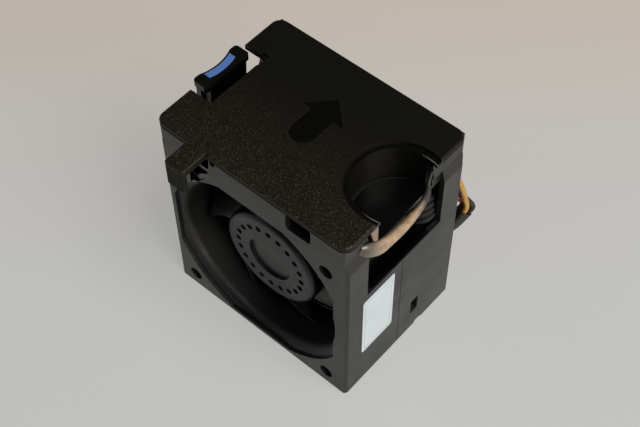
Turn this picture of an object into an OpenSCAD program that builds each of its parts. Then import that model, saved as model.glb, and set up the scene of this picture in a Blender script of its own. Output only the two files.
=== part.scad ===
// Server fan module: a 60 mm axial fan in a clip-together carrier that drops into a chassis bay.
// X runs across the intake face, Y runs with the air from intake to exhaust, Z is up.
// The origin is on the ground under the middle of the fan's axis. Millimetres throughout.

/* [Carrier] */
// Depth of the carrier from intake face to exhaust face
body_depth = 46.4; // [44:0.2:60]
// Room between the fan's square and the left side wall's outer face
left_room = 1.2; // [1:0.1:4]
// Room between the fan's square and the right side wall's outer face
right_room = 2.2; // [1.8:0.1:5]
// Thickness of the side walls
wall = 1.6; // [1.2:0.1:2.2]
// Thickness of the floor and of the deck over the fan
floor_t = 1.2; // [1:0.1:1.6]
// Thickness of the intake wall and of the exhaust wall
face_t = 1.8; // [1.4:0.1:2.4]
// Where the front housing ends and the rear housing starts
split_y = 22.5; // [21:0.5:24]
// Inset of the upper skirt from the side walls
skirt_inset = 1; // [0.6:0.1:1.4]
// Height of the deck's top to the underside of the lid
attic_h = 10.6; // [9.6:0.1:14]

/* [Lid] */
// Thickness of the lid plate
lid_t = 1.9; // [1.6:0.1:2.6]
// Overhang of the lid past the intake face
lid_front = 1.6; // [1:0.1:2.4]
// Overhang of the lid past the right wall
lid_right = 0.6; // [0.2:0.1:1]
// Step back of the lid from the exhaust face
lid_back = 0.9; // [0.4:0.1:2]
// Radius of the lid's corners
lid_corner_r = 3; // [1.5:0.5:4]
// Radius of the finger hole
finger_r = 11.6; // [10:0.2:12.4]
// Distance from the intake face to the centre of the finger hole
finger_y = 21.9; // [20:0.1:23]
// Distance of the finger hole's centre in from the right wall
finger_in = 3.25; // [2:0.25:5]
// Width of the ledge round the finger hole
ledge_w = 1.7; // [1:0.1:2.2]
// Depth of the ledge round the finger hole
ledge_depth = 0.9; // [0.5:0.1:1.1]
// Width of the hook tab
tab_w = 6.6; // [5:0.2:9]
// Reach of the hook tab past the intake face
tab_reach = 9.9; // [7:0.1:12]
// Height of the tab's downturned hook under the lid
hook_drop = 6; // [4:0.5:8]
// Depth of the sunk airflow arrow
arrow_depth = 0.5; // [0.2:0.1:0.9]

/* [Fan] */
// Side of the fan's square
fan_size = 60; // [52:0.5:72]
// Distance from the fan's square in to the centres of its fixing holes
hole_inset = 5; // [4.5:0.1:5.5]
// Diameter of a fixing hole
hole_d = 4.3; // [3.6:0.1:4.6]
// Distance from the fan's square in to the air duct
duct_edge = 1.8; // [1.6:0.1:3]
// Wall thickness of the air duct
duct_wall = 1.4; // [1:0.1:1.6]
// Flare of the intake mouth past the duct
mouth_flare = 2.6; // [1.5:0.1:2.9]
// Gap between the blade tips and the duct
tip_gap = 0.6; // [0.4:0.1:1.2]
// Radius of the impeller's hub
hub_r = 15.9; // [15.2:0.1:17]
// Recess of the hub's face behind the intake face
hub_y = 5.7; // [5:0.1:7]
// Axial length of the impeller's hub
hub_len = 22; // [20:0.5:24]
// Number of blades
blade_count = 7; // [5:1:9]
// Thickest part of a blade
blade_t = 1.2; // [0.9:0.1:1.6]
// Number of balance pockets in the hub's face
pocket_count = 20; // [12:1:24]
// Number of guide vanes behind the impeller
vane_count = 8; // [6:1:9]
// Thickness of a guide vane
vane_t = 1.4; // [1:0.1:2]

/* [Motor] */
// Radius of the shaft
shaft_r = 1.5; // [1.2:0.1:2]
// Outer radius of a ball bearing
bearing_r = 4; // [3.8:0.1:4.5]
// Width of a ball bearing
bearing_w = 3; // [2.5:0.1:4]
// Wall thickness of the brass bearing tube
tube_wall = 1; // [0.8:0.1:1.4]
// Wall thickness of the steel rotor cup
yoke_wall = 1; // [0.8:0.1:1.2]
// Thickness of the ring magnet
magnet_t = 1.5; // [1.2:0.1:1.8]
// Air gap between the magnet and the stator
air_gap = 0.4; // [0.3:0.1:0.6]
// Number of stator teeth
tooth_count = 6; // [4:2:8]
// Running clearance of each turning fit
run_gap = 0.05; // [0.03:0.01:0.09]
// Thickness of the circuit board
board_t = 1; // [0.8:0.1:1.6]

/* [Latch] */
// Width of the latch tongue
tongue_w = 16.4; // [12:0.2:17]
// Height of the latch's root over the fan axis
root_z = 8; // [7:0.5:12]
// Depth of the latch pad from its outer edge to the lid gap
pad_depth = 5; // [4:0.1:5.6]
// Sink of the pad's concave outer edge
pad_scoop = 1.2; // [0.5:0.1:1.6]
// Width of the blue touch stripe
stripe_w = 2; // [1:0.1:2.4]
// Side gap between the latch and the carrier
latch_gap = 0.6; // [0.4:0.1:1]
// Reach of the catch past the left wall
catch_reach = 1.2; // [0.8:0.1:1.6]

/* [Lead] */
// Diameter of one wire of the fan lead
wire_d = 1.6; // [1.2:0.1:1.8]
// Width of the connector shell across the module
plug_w = 7; // [6:0.2:7.4]
// Length of the connector shell along the module
plug_l = 10; // [8:0.5:12]

/* [Hidden] */
$fn = 96;
hull_fn = 32;
edge = 0.4;
seam_edge = 0.2;

// The fan's square sets the carrier round it
half_size = fan_size / 2;
axis_height = half_size;
left_reach = half_size + left_room;
right_reach = half_size + right_room;
duct_r = half_size - duct_edge;
mouth_r = duct_r + mouth_flare;
u = fan_size / 60;

// Heights, measured from the fan axis
floor_z = -axis_height;
deck_z = axis_height;
duct_out = duct_r + duct_wall + 0.04;
ledge_low = deck_z - 0.6;
ledge_high = deck_z + 3.4;
lid_under = deck_z + attic_h;
lid_top = lid_under + lid_t;
lid_x0 = -(left_reach - skirt_inset);
lid_x1 = right_reach + lid_right;
lid_y1 = body_depth - lid_back;
inner_left = -(left_reach - wall);
inner_right = right_reach - wall;
finger_x = right_reach - finger_in;
pocket_t = 1.4;
hole_at = half_size - hole_inset;
boss_r = hole_d / 2 + 1.5;
boss_len = 5;
mouth_lip = 1;
bell_r = 3;
mouth_side = right_reach - 4.7;
mouth_flat = axis_height - floor_t;
hook_x = lid_x0 + 11.2;
seat = 0.2;

// Windows low in the side walls, for the snap arms
snap_z = -18.7 * u;
snap_y = split_y + 5.6;
snap_half = 3;

// The finger window in the right wall, and the gap in the skirt over it, which leans back as it goes down
window_y0 = finger_y - 13.95;
window_y1 = finger_y + 16.2;
sill_z = 12.3 * u;
grip_y0 = finger_y - finger_r - 2.9;
grip_y1 = finger_y + finger_r - 0.1;
grip_lean = 1.5;
post_low = deck_z + 4;
post_gap = 0.4;

// The impeller and its motor, along the fan axis
tip_r = duct_r - tip_gap;
hub_back = hub_y + hub_len;
hub_skin = 1.1;
face_skin = 2.6;
cup_r = hub_r - hub_skin;
cup_y0 = hub_y + face_skin;
cup_in = cup_r - yoke_wall;
magnet_in = cup_in - magnet_t;
stator_r = magnet_in - air_gap;
stator_y0 = hub_y + 6.5;
stator_len = 10.5;
board_y = stator_y0 + stator_len + 3.6;
base_y = hub_back + 3.4;
base_t = 2;
tube_in = bearing_r;
tube_out = tube_in + tube_wall;
tube_y0 = hub_y + 5.4;
front_bearing_y = tube_y0 + 0.4;
rear_bearing_y = base_y - bearing_w - 1.2;
race_t = 0.7;
ball_r = (bearing_r - shaft_r - 2 * race_t) / 2 + 0.1;
ball_ring_r = (bearing_r + shaft_r) / 2;
shaft_end = rear_bearing_y + bearing_w + 1.8;
clip_y = rear_bearing_y + bearing_w + 0.5;

// The latch
pad_y0 = finger_y - tongue_w / 2 + 0.2;
pad_y1 = pad_y0 + tongue_w;
tongue_y0 = pad_y0 + 0.4;
tongue_y1 = pad_y1 - 0.4;
tongue_t = wall;
root_x = -(left_reach - tongue_t / 2);
pad_x0 = -(left_reach + 0.7);
pad_x1 = pad_x0 + pad_depth;
notch_y0 = pad_y0 - 2.6;
notch_y1 = pad_y1 + 1.6;
notch_x = pad_x1 + 4.1;
deck_notch_x = notch_x - 1.8;
catch_z = deck_z - 9;

// The connector in the lower right corner, and the lead's route to it
plug_x1 = inner_right - 1.9;
plug_x0 = plug_x1 - plug_w;
plug_y0 = split_y + 2.5;
plug_top = floor_z + 9.2;
contact_x = [plug_x0 + plug_w / 2 - 1.5, plug_x0 + plug_w / 2 + 1.5];
contact_y = [plug_y0 + plug_l / 2 - 1.5, plug_y0 + plug_l / 2 + 1.5];
slot_w = 2.2;
sleeve_slot_w = 5.3;

// Carries a shape from the fan's own frame to the module's origin on the ground
module in_place() translate([0, -body_depth / 2, axis_height]) children();

// Extrudes an outline of the intake view from y0 to y1
module along_y(y0, y1) translate([0, y1, 0]) rotate([90, 0, 0]) linear_extrude(y1 - y0) children();

// Extrudes an outline of the side view from x0 to x1
module along_x(x0, x1) translate([x0, 0, 0]) rotate([90, 0, 90]) linear_extrude(x1 - x0) children();

// Spins a profile of radius and depth about the fan axis
module about_axis() rotate([-90, 0, 0]) rotate_extrude() children();

module disc_y(r, y0, y1) translate([0, y1, 0]) rotate([90, 0, 0]) cylinder(r = r, h = y1 - y0);

module ring_y(r_out, r_in, y0, y1) difference() {
    disc_y(r_out, y0, y1);
    disc_y(r_in, y0 - 1, y1 + 1);
}

module box(low, high) translate(low) cube(high - low);

module rounded_rect(x0, y0, x1, y1, r) {
    translate([x0 + r, y0]) square([x1 - x0 - 2 * r, y1 - y0]);
    translate([x0, y0 + r]) square([x1 - x0, y1 - y0 - 2 * r]);
    for (x = [x0 + r, x1 - r], y = [y0 + r, y1 - r]) translate([x, y]) circle(r);
}

module at_holes() for (x = [-hole_at, hole_at], z = [-hole_at, hole_at]) translate([x, 0, z]) children();

// ---- Carrier -------------------------------------------------------------------------------

// Outline of the carrier seen from the intake: side walls, ledges and the narrower skirt
module carrier_outline(sink = 0) {
    l = left_reach - sink;
    r = right_reach - sink;
    s = skirt_inset;
    low = floor_z + sink;
    polygon([[-l + edge, low], [r - edge, low], [r, low + edge], [r, ledge_low], [r - s, ledge_high],
             [r - s, lid_under], [-l + s, lid_under], [-l + s, ledge_high], [-l, ledge_low],
             [-l, low + edge]]);
}

// Room inside the lower box, between floor and deck
module lower_room() polygon([[inner_left, floor_z + floor_t], [inner_right, floor_z + floor_t],
                             [inner_right, deck_z - floor_t], [inner_left, deck_z - floor_t]]);

// Room between deck and lid
module attic_room() polygon([[inner_left + skirt_inset, deck_z], [inner_right - skirt_inset, deck_z],
                             [inner_right - skirt_inset, lid_under + 1],
                             [inner_left + skirt_inset, lid_under + 1]]);

// Plan outline with broken vertical edges at the intake end
module plan_edges(y0, y1, front, back) along_plan() polygon([
    [-left_reach + front, y0], [right_reach - front, y0], [right_reach, y0 + front],
    [right_reach, y1 - back], [right_reach - back, y1], [-left_reach + back, y1],
    [-left_reach, y1 - back], [-left_reach, y0 + front]]);

module along_plan() translate([0, 0, floor_z - 1]) linear_extrude(lid_top - floor_z + 2) children();

// Intake mouth: a circle cut off by a flat at each side, at the top and at the bottom
module mouth_outline() intersection() {
    circle(mouth_r);
    translate([-(left_reach - 2.3), -mouth_flat])
        square([left_reach - 2.3 + mouth_side, 2 * mouth_flat]);
}

// Window in the right wall, and the gap over it for the finger pocket
module window_cut() {
    box([inner_right - 0.01, window_y0, sill_z], [right_reach + 1, window_y1, ledge_high]);
    along_x(inner_right - skirt_inset - 0.01, right_reach + 1) polygon([
        [grip_y0, lid_under + 1], [grip_y0 + grip_lean, ledge_high - 0.01], [window_y0 + 1, deck_z],
        [grip_y1 + grip_lean, deck_z], [grip_y1, lid_under + 1]]);
}

// Gap in the left wall for the latch, and the open stretch of skirt over it
module latch_cut() {
    y0 = tongue_y0 - latch_gap;
    y1 = tongue_y1 + latch_gap;
    box([-left_reach - 1, y0, root_z], [inner_left + 0.01, y1, lid_top]);
    translate([root_x, y1, root_z]) rotate([90, 0, 0]) cylinder(r = tongue_t / 2 + run_gap, h = y1 - y0);
    box([-left_reach - 1, notch_y0, ledge_low], [inner_left + skirt_inset + 0.01, notch_y1 + 5.6, lid_top]);
    box([-left_reach, notch_y0 + 1, deck_z - floor_t - 0.01], [deck_notch_x, notch_y1, deck_z + 1]);
}

// The shell that both housings share, cut to length
module shell_between(y0, y1) difference() {
    along_y(y0, y1) carrier_outline();
    along_y(y0 - 1, y1 + 1) lower_room();
    along_y(y0 - 1, y1 + 1) attic_room();
}

module front_housing() color([0.10, 0.10, 0.10]) in_place() {
    difference() {
        intersection() {
            union() {
                shell_between(0, split_y);
                along_y(0, face_t) carrier_outline();
                ring_y(duct_out, duct_r, bell_r + mouth_lip - 0.01, split_y);
                bellmouth();
                at_holes() disc_y(boss_r, face_t - 0.01, boss_len);
            }
            plan_edges(0, split_y, edge * 2, seam_edge);
        }
        along_y(-1, mouth_lip) mouth_outline();
        disc_y(duct_r, 0, split_y + 1);
        about_axis() bell_cut();
        at_holes() disc_y(hole_d / 2, -1, boss_len + 1);
        hook_relief();
        strip_slot();
        window_cut();
        latch_cut();
    }
    for (side = [-1, 1]) snap_arm(side);
}

// Solid flare between the intake wall and the duct, kept inside the carrier's box
module bellmouth() intersection() {
    disc_y(mouth_r + 1.4, mouth_lip - 0.01, bell_r + mouth_lip);
    along_y(0, split_y) polygon([[inner_left, floor_z + 0.1], [inner_right, floor_z + 0.1],
                                 [inner_right, deck_z - 0.1], [inner_left, deck_z - 0.1]]);
}

// Removes everything but a round-nosed flare
module bell_cut() difference() {
    translate([0, mouth_lip - 0.01]) square([duct_r + bell_r, bell_r + 0.01]);
    translate([duct_r + bell_r, mouth_lip + bell_r]) circle(bell_r);
}

// Relief in the intake wall behind the hook tab, with its curved right edge
module hook_relief() {
    intersection() {
        translate([hook_x - 16.5, 0, deck_z + 8]) disc_y(22, -1, face_t + 0.01);
        box([-hole_at + boss_r, -1, hole_at - 3], [hook_x + 9, face_t + 0.01, lid_under - 1]);
    }
    translate([hook_x + tab_w + 0.1, 0, lid_under - 3.6]) disc_y(0.9, -1, face_t + 0.01);
}

// Slot in the strip over the mouth, where the chassis guide looks in
module strip_slot() along_y(-1, face_t + 0.01)
    rounded_rect(finger_x - 16.85, deck_z + 2.1, finger_x - 8.75, deck_z + 7.9, 1.1);

// Snap arm of the front housing, which reaches into a window of the rear housing
module snap_arm(side) {
    x = side > 0 ? inner_right - seat : inner_left + seat;
    z0 = snap_z - snap_half + 0.5;
    z1 = snap_z + snap_half - 0.5;
    dx = side * 1.2;
    tip = side * (wall + seat - 0.9);
    intersection() {
        along_plan() polygon([[x, split_y - 6], [x, snap_y + 0.3], [x + tip, snap_y + 0.3],
                              [x + tip, snap_y + 0.9], [x, snap_y + 2.8], [x - dx, snap_y + 2.8],
                              [x - dx, split_y - 6]]);
        box([-right_reach, 0, z0], [right_reach, split_y + 10, z1]);
    }
    box([min(x, x + side * seat) - 0.01, split_y - 6, z0],
        [max(x, x + side * seat) + 0.01, split_y - 0.5, z1]);
}

module rear_housing() color([0.11, 0.11, 0.11]) in_place() {
    difference() {
        intersection() {
            union() {
                shell_between(split_y, body_depth);
                along_y(body_depth - face_t, body_depth) carrier_outline();
                ring_y(duct_out, duct_r, split_y, body_depth);
                at_holes() disc_y(boss_r, body_depth - boss_len, body_depth);
            }
            plan_edges(split_y, body_depth, seam_edge, edge * 2);
        }
        disc_y(duct_r, split_y - 1, body_depth + 1);
        at_holes() disc_y(hole_d / 2, body_depth - boss_len - 1, body_depth + 1);
        window_cut();
        latch_cut();
        for (x = [-left_reach - 1, inner_right - 0.01]) 
            box([x, snap_y, snap_z - snap_half], [x + wall + 1.01, snap_y + 3.1, snap_z + snap_half]);
        box([right_reach - 1.2, snap_y + 2.6, floor_z - 1], [right_reach + 1, snap_y + 5.4, floor_z + 1.2]);
        box([plug_x0 - seat, plug_y0 - seat, floor_z - 1],
            [plug_x1 + seat, plug_y0 + plug_l + seat, floor_z + floor_t + 0.01]);
        box([inner_right - slot_w, body_depth - face_t - 1, 11.9 * u], [inner_right, body_depth + 1, 21.6 * u]);
        difference() {
            box([inner_right - sleeve_slot_w, body_depth - face_t - 1, -20.1 * u],
                [inner_right, body_depth + 1, -13.2 * u]);
            disc_y(duct_out + 0.2, split_y, body_depth + 2);
        }
        lead_gate();
        box([-left_reach + skirt_inset + wall + 3, body_depth - lid_back - 0.01, deck_z + 1],
            [right_reach - 6, body_depth + 1, lid_top]);
    }
}

lead_angle = -30;
vane_seat = 0.05;

// Motor base and guide vanes, carried by the rear duct
module guide_vanes() color([0.12, 0.12, 0.12]) in_place() difference() {
    union() {
        motor_base();
        intersection() {
            for (i = [0:vane_count - 1]) rotate([0, lead_angle - 360 * i / vane_count, 0]) vane(i);
            disc_y(duct_r - vane_seat, base_y, body_depth);
        }
    }
    lead_gate();
}

// Opening through the motor base, the lead vane and the duct wall for the wires
module lead_gate() rotate([0, lead_angle, 0]) {
    box([hub_r - 6.3, base_y - 1, -3.9], [hub_r - 2.6, base_y + base_t + 1, 3.9]);
    box([hub_r - 2.4, base_y + 1.3, -3.9], [hub_r + 0.6, base_y + base_t + 5, 3.9]);
    box([duct_r - 1.2, base_y + 0.6, -3.9], [duct_out + 0.6, base_y + 5.4, 3.9]);
}

// Shallow cup that carries the bearing tube and closes the hub's back
module motor_base() {
    difference() {
        disc_y(hub_r, hub_back + 0.6, base_y + base_t);
        disc_y(hub_r - 1.2, hub_back, base_y);
        disc_y(tube_out, base_y - 1, base_y + base_t - 0.8);
        disc_y(shaft_r + 1.6, base_y - 1, base_y + base_t - 0.4);
    }
    ring_y(hub_r, hub_r - 1.4, base_y + base_t - 0.01, base_y + base_t + 4);
}

// Guide vane: a curved plate from the motor base to the duct. The first one is a trough.
module vane(i) {
    lean = i == 0 ? 0.01 : 1;
    arc_r = 16;
    y0 = base_y + 0.2;
    len = body_depth - y0 - 4;
    if (i == 0) difference() {
        box([hub_r - 1, y0, -4.9], [duct_r + 0.4, y0 + 4.4, 4.9]);
        box([hub_r - 2, y0 + 1, -3.9], [duct_r + 1, y0 + 5, 3.9]);
    }
    else translate([hub_r - 1.3, y0, 0]) rotate([0, 90, 0]) linear_extrude(duct_r - hub_r + 1.7)
        intersection() {
            translate([-arc_r * lean, len]) difference() {
                circle(arc_r + vane_t / 2);
                circle(arc_r - vane_t / 2);
            }
            translate([-arc_r, 0]) square([2 * arc_r, len]);
        }
}

module top_cover() color([0.08, 0.08, 0.07]) in_place() difference() {
    union() {
        lid_plate();
        hook_tab();
        pocket_wall();
        pocket_post();
        lid_ribs();
    }
    box([-left_reach - 1, notch_y0, lid_under - 8], [notch_x, notch_y1, lid_top + 1]);
    box([notch_x - 1.6, notch_y1 - 3.4, lid_top - 1], [notch_x + 0.5, notch_y1 + 0.9, lid_top + 1]);
    translate([finger_x, finger_y, lid_under - 1]) cylinder(r = finger_r, h = lid_t + 2);
    translate([finger_x, finger_y, lid_top - ledge_depth]) cylinder(r = finger_r + ledge_w, h = lid_t);
    airflow_arrow();
}

// Plate with round corners and a fine chamfer round its top
module soft_plate(x0, y0, x1, y1, r, z0, z1) {
    e = edge;
    translate([0, 0, z0]) linear_extrude(z1 - e - z0) rounded_rect(x0, y0, x1, y1, r);
    translate([0, 0, z1 - e]) {
        for (x = [x0 + r, x1 - r], y = [y0 + r, y1 - r]) translate([x, y, 0]) cylinder(r1 = r, r2 = r - e, h = e);
        along_y(y0 + r, y1 - r) polygon([[x0, 0], [x1, 0], [x1 - e, e], [x0 + e, e]]);
        along_x(x0 + r, x1 - r) polygon([[y0, 0], [y1, 0], [y1 - e, e], [y0 + e, e]]);
    }
}

module lid_plate() soft_plate(lid_x0, -lid_front, lid_x1, lid_y1, lid_corner_r, lid_under, lid_top);

// Tab that hooks under the chassis edge, turned down at its front
module hook_tab() {
    r = 1.4;
    y0 = -tab_reach;
    soft_plate(hook_x, y0, hook_x + tab_w, lid_corner_r, r, lid_under, lid_top);
    translate([0, 0, lid_under - hook_drop]) linear_extrude(hook_drop + 0.1) intersection() {
        rounded_rect(hook_x, y0, hook_x + tab_w, y0 + 4, r);
        translate([hook_x - 1, y0 - 1]) square([tab_w + 2, r + 1]);
    }
}

// Round wall of the finger pocket, from the lid down to the deck
module pocket_wall() intersection() {
    translate([finger_x, finger_y, deck_z]) difference() {
        cylinder(r = finger_r + pocket_t, h = attic_h + 0.01);
        translate([0, 0, -1]) cylinder(r = finger_r, h = attic_h + 2);
    }
    box([-left_reach, 0, deck_z], [inner_right - skirt_inset - seat, body_depth, lid_top]);
}

// Front post of the finger pocket, which fills the gap in the skirt out to the lid's edge
module pocket_post() difference() {
    along_x(finger_x, lid_x1 - post_gap) polygon([
        [grip_y0 + post_gap, lid_under + 0.01], [grip_y0 + post_gap + grip_lean, post_low + 0.9],
        [finger_y - finger_r + 1, post_low - 0.5], [finger_y - finger_r + 1, lid_under + 0.01]]);
    translate([finger_x, finger_y, deck_z]) cylinder(r = finger_r, h = attic_h + 2);
}

// Locating ribs under the lid, just inside the skirts and the intake strip
module lid_ribs() {
    x0 = inner_left + skirt_inset + seat;
    x1 = inner_right - skirt_inset - seat;
    for (y = [[face_t + seat, notch_y0 - 2], [notch_y1 + 8, body_depth - face_t - seat - 0.6]])
        box([x0, y[0], lid_under - 3], [x0 + 1.2, y[1], lid_under + 0.01]);
    for (x = [[-6, 10], [22, x1]])
        box([x[0], face_t + seat, lid_under - 3], [x[1], face_t + seat + 1.2, lid_under + 0.01]);
    box([x1 - 1.2, finger_y + finger_r + 4, lid_under - 3],
        [x1, body_depth - face_t - seat - 0.6, lid_under + 0.01]);
}

// Sunk arrow that points with the air, with a round mould mark in its tail
module airflow_arrow() {
    x = (lid_x0 + lid_x1) / 2 - 0.2;
    tail = 3.65;
    y0 = body_depth / 2 - 3.8;
    neck = y0 + 7.1;
    tip = neck + 6.5;
    translate([0, 0, lid_top - arrow_depth]) difference() {
        union() {
            linear_extrude(lid_t) polygon([[x - 6.9, neck], [x + 6.9, neck], [x, tip]]);
            translate([x - tail, y0, 0]) cube([2 * tail, neck - y0 + 0.01, lid_t]);
            translate([x, y0, 0]) cylinder(r = tail, h = lid_t);
        }
        translate([x - 0.6, y0 - 0.2, -1]) difference() {
            cylinder(r = 1.9, h = 1.2);
            translate([0, 0, -1]) cylinder(r = 1.6, h = 3);
        }
    }
}

// Grip bar over the window: [distance behind the finger hole's centre, height over the deck, inset from
// the right wall, half height, half thickness], from front to back
grip_path = [[-16.4, 3.9, 1.2, 1.4, 0.5], [-14.6, 2.9, 0.5, 2, 0.9], [-11.6, 0.4, 0.2, 2.4, 1.1],
             [-8.5, -1.5, 0.2, 2.6, 1.3], [-5, -2.2, 0.2, 2.2, 1.3], [-2.2, -2.5, 0.2, 2.1, 1.25],
             [0.5, -2.5, 0.2, 2, 1.2], [3.1, -2.2, 0.2, 1.9, 1.1], [5.5, -1.7, 0.2, 1.6, 0.95],
             [7.9, -0.4, 0.3, 1.5, 0.9], [9, 1.2, 0.3, 1.3, 0.9], [9.5, 3.2, 0.4, 0.7, 0.7],
             [9.9, 5, 0.7, 0.5, 0.45], [11.4, 6.4, 1.2, 0.5, 0.4], [13.2, 7, 1.5, 0.5, 0.4]];
grip_sides = 16;

module finger_bar() color([0.56, 0.5, 0.41]) in_place() sweep_ovals([
    for (p = grip_path) [[right_reach - p[2], finger_y + p[0], deck_z + p[1]], p[4], p[3]]], grip_sides);

// ---- Sweeps --------------------------------------------------------------------------------

function unit(v) = v / norm(v);
function way(path, i) = unit(path[min(i + 1, len(path) - 1)] - path[max(i - 1, 0)]);

// Tube of oval rings: each station is [centre, half width along X, half height across the path]
module sweep_ovals(stations, sides) {
    path = [for (s = stations) s[0]];
    rings = [for (i = [0:len(path) - 1])
        let (u = [1, 0, 0], v = unit(cross(way(path, i), u)))
        for (k = [0:sides - 1])
            path[i] + u * stations[i][1] * cos(360 * k / sides) + v * stations[i][2] * sin(360 * k / sides)];
    closed_tube(rings, len(path), sides);
}

// Closed skin over rings of points, all in triangles. The ends are filled in strips across the ring.
module closed_tube(rings, count, sides) {
    last = (count - 1) * sides;
    strips = [for (k = [0:sides / 2 - 2])
        each [[k, k + 1, sides - 2 - k], [k, sides - 2 - k, sides - 1 - k]]];
    polyhedron(rings, concat(strips,
        [for (i = [0:count - 2], k = [0:sides - 1]) let (a = i * sides + k, b = i * sides + (k + 1) % sides)
            each [[a, b + sides, b], [a, a + sides, b + sides]]],
        [for (f = strips) [f[0] + last, f[2] + last, f[1] + last]]));
}

// ---- Latch ---------------------------------------------------------------------------------

// Sprung tongue that bends at its root: pad at lid level, catch on its outer face
module release_latch() color([0.07, 0.07, 0.06]) in_place() {
    difference() {
        union() {
            box([-left_reach, tongue_y0, root_z], [-left_reach + tongue_t, tongue_y1, lid_under + 0.01]);
            translate([root_x, tongue_y1, root_z]) rotate([90, 0, 0])
                cylinder(r = tongue_t / 2, h = tongue_y1 - tongue_y0);
            for (y = [tongue_y0 + 1, tongue_y1 - 2.2])
                along_y(y, y + 1.2) polygon([[-left_reach + tongue_t - 0.01, root_z + 6],
                    [-left_reach + tongue_t + 1.6, root_z + 14], [-left_reach + tongue_t + 2.6, lid_under],
                    [-left_reach + tongue_t - 0.01, lid_under]]);
            along_y(finger_y - 3, finger_y + 3) polygon([[-left_reach + 0.01, catch_z - 2.8],
                [-left_reach + 0.01, catch_z + 0.4], [-left_reach - catch_reach, catch_z],
                [-left_reach - catch_reach, catch_z - 0.6]]);
            latch_pad();
        }
        translate([0, 0, lid_top - 0.6]) linear_extrude(2) stripe_outline(0.05);
    }
}

pad_mid_y = (pad_y0 + pad_y1) / 2;
scoop_half = tongue_w / 2 - 2.4;
scoop_r = (scoop_half * scoop_half + pad_scoop * pad_scoop) / (2 * pad_scoop);
scoop_x = pad_x0 + pad_scoop - scoop_r;

module latch_pad() translate([0, 0, lid_under]) linear_extrude(lid_t) difference() {
    rounded_rect(pad_x0, pad_y0, pad_x1, pad_y1, 1);
    translate([scoop_x, pad_mid_y]) circle(scoop_r);
}

// Curved band that follows the pad's concave edge
module stripe_outline(play) {
    r0 = scoop_r + 0.5 - play;
    r1 = scoop_r + 0.5 + stripe_w + play;
    half = scoop_half - 1 + play;
    intersection() {
        translate([scoop_x, pad_mid_y]) difference() {
            circle(r1);
            circle(r0);
        }
        translate([pad_x0 - 1, pad_mid_y - half]) square([pad_depth + 1, 2 * half]);
    }
}

module latch_stripe() color([0.29, 0.42, 0.68]) in_place()
    translate([0, 0, lid_top - 0.6]) linear_extrude(0.65) stripe_outline(0);

// ---- Label ---------------------------------------------------------------------------------

label_t = 0.15;
label_w = 12.8;
label_h = 25 * u;
label_y = split_y - 16.2;
label_z = -15 * u;

module label_sticker() color([0.86, 0.88, 0.9]) in_place()
    along_x(right_reach, right_reach + label_t)
        rounded_rect(label_y, label_z, label_y + label_w, label_z + label_h, 0.8);

// ---- Impeller ------------------------------------------------------------------------------

function lead_edge(s) = 169 + 29 * s;
function lead_y(s) = hub_y + 2.2 + 1.5 * s;
function blade_wrap(s) = 52 - 8 * s;
function blade_depth(s) = hub_len - 5.6 - 1.4 * s;
function blade_radius(s) = hub_r - 0.9 + (tip_r - hub_r + 0.9) * s;

// Middle surface of a blade: s runs from hub to tip, t from leading to trailing edge
function blade_mid(s, t) =
    let (r = blade_radius(s), a = lead_edge(s) - blade_wrap(s) * t)
    [r * cos(a), lead_y(s) + blade_depth(s) * pow(t, 1.3), r * sin(a)];
function blade_half(t) = blade_t / 2 * (0.35 + 0.65 * sin(180 * pow(t, 0.7)));
function blade_point(s, t, side) =
    let (p = blade_mid(s, t), e = 0.01,
         along_s = blade_mid(min(s + e, 1), t) - blade_mid(max(s - e, 0), t),
         along_t = blade_mid(s, min(t + e, 1)) - blade_mid(s, max(t - e, 0)),
         n = unit(cross(along_s, along_t)),
         q = p + side * blade_half(t) * n,
         r = norm([q[0], q[2]]), k = blade_radius(s) / r)
    [q[0] * k, q[1], q[2] * k];

blade_s = 7;
blade_n = 9;

// One blade as a closed skin: rings round its section, stacked from hub to tip
module blade() {
    sides = 2 * blade_n;
    rings = [for (i = [0:blade_s - 1])
        let (s = i / (blade_s - 1))
        each concat([for (j = [0:blade_n - 1]) blade_point(s, j / (blade_n - 1), -1)],
                    [for (j = [blade_n - 1:-1:0]) blade_point(s, j / (blade_n - 1), 1)])];
    closed_tube(rings, blade_s, sides);
}

module impeller() color([0.09, 0.09, 0.09]) in_place() {
    difference() {
        hub_blank();
        disc_y(cup_r, cup_y0, hub_back + 1);
        disc_y(7.3, hub_y - 1, hub_y + 0.9);
        for (i = [0:pocket_count - 1]) rotate([0, 360 * i / pocket_count, 0])
            translate([11.4, 0, 0]) disc_y(0.95, hub_y - 1, hub_y + face_skin - 0.5);
    }
    for (i = [0:blade_count - 1]) rotate([0, -360 * i / blade_count, 0]) blade();
}

// Hub cup with a rounded front edge
module hub_blank() {
    round_r = 1.6;
    disc_y(hub_r - round_r, hub_y, hub_y + round_r + 0.01);
    disc_y(hub_r, hub_y + round_r, hub_back);
    about_axis() intersection() {
        translate([hub_r - round_r, hub_y + round_r]) circle(round_r);
        translate([0, hub_y]) square([hub_r, round_r + 0.01]);
    }
}

// ---- Motor ---------------------------------------------------------------------------------

collar_len = 1.9;

module rotor_cup() color([0.6, 0.6, 0.62]) in_place() {
    ring_y(cup_r, cup_in, cup_y0, hub_back - 0.6);
    ring_y(cup_in + 0.01, shaft_r + 1.2, cup_y0, cup_y0 + yoke_wall);
    ring_y(shaft_r + 1.2, shaft_r, cup_y0, cup_y0 + collar_len);
}

module ring_magnet() color([0.25, 0.25, 0.26]) in_place()
    ring_y(cup_in, magnet_in, stator_y0 - 1.2, stator_y0 + stator_len + 1.6);

module shaft() color([0.8, 0.8, 0.82]) in_place() {
    difference() {
        disc_y(shaft_r, cup_y0, shaft_end);
        ring_y(shaft_r + 1, shaft_r - 0.4, clip_y - 0.05, clip_y + 0.55);
    }
}

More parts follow.
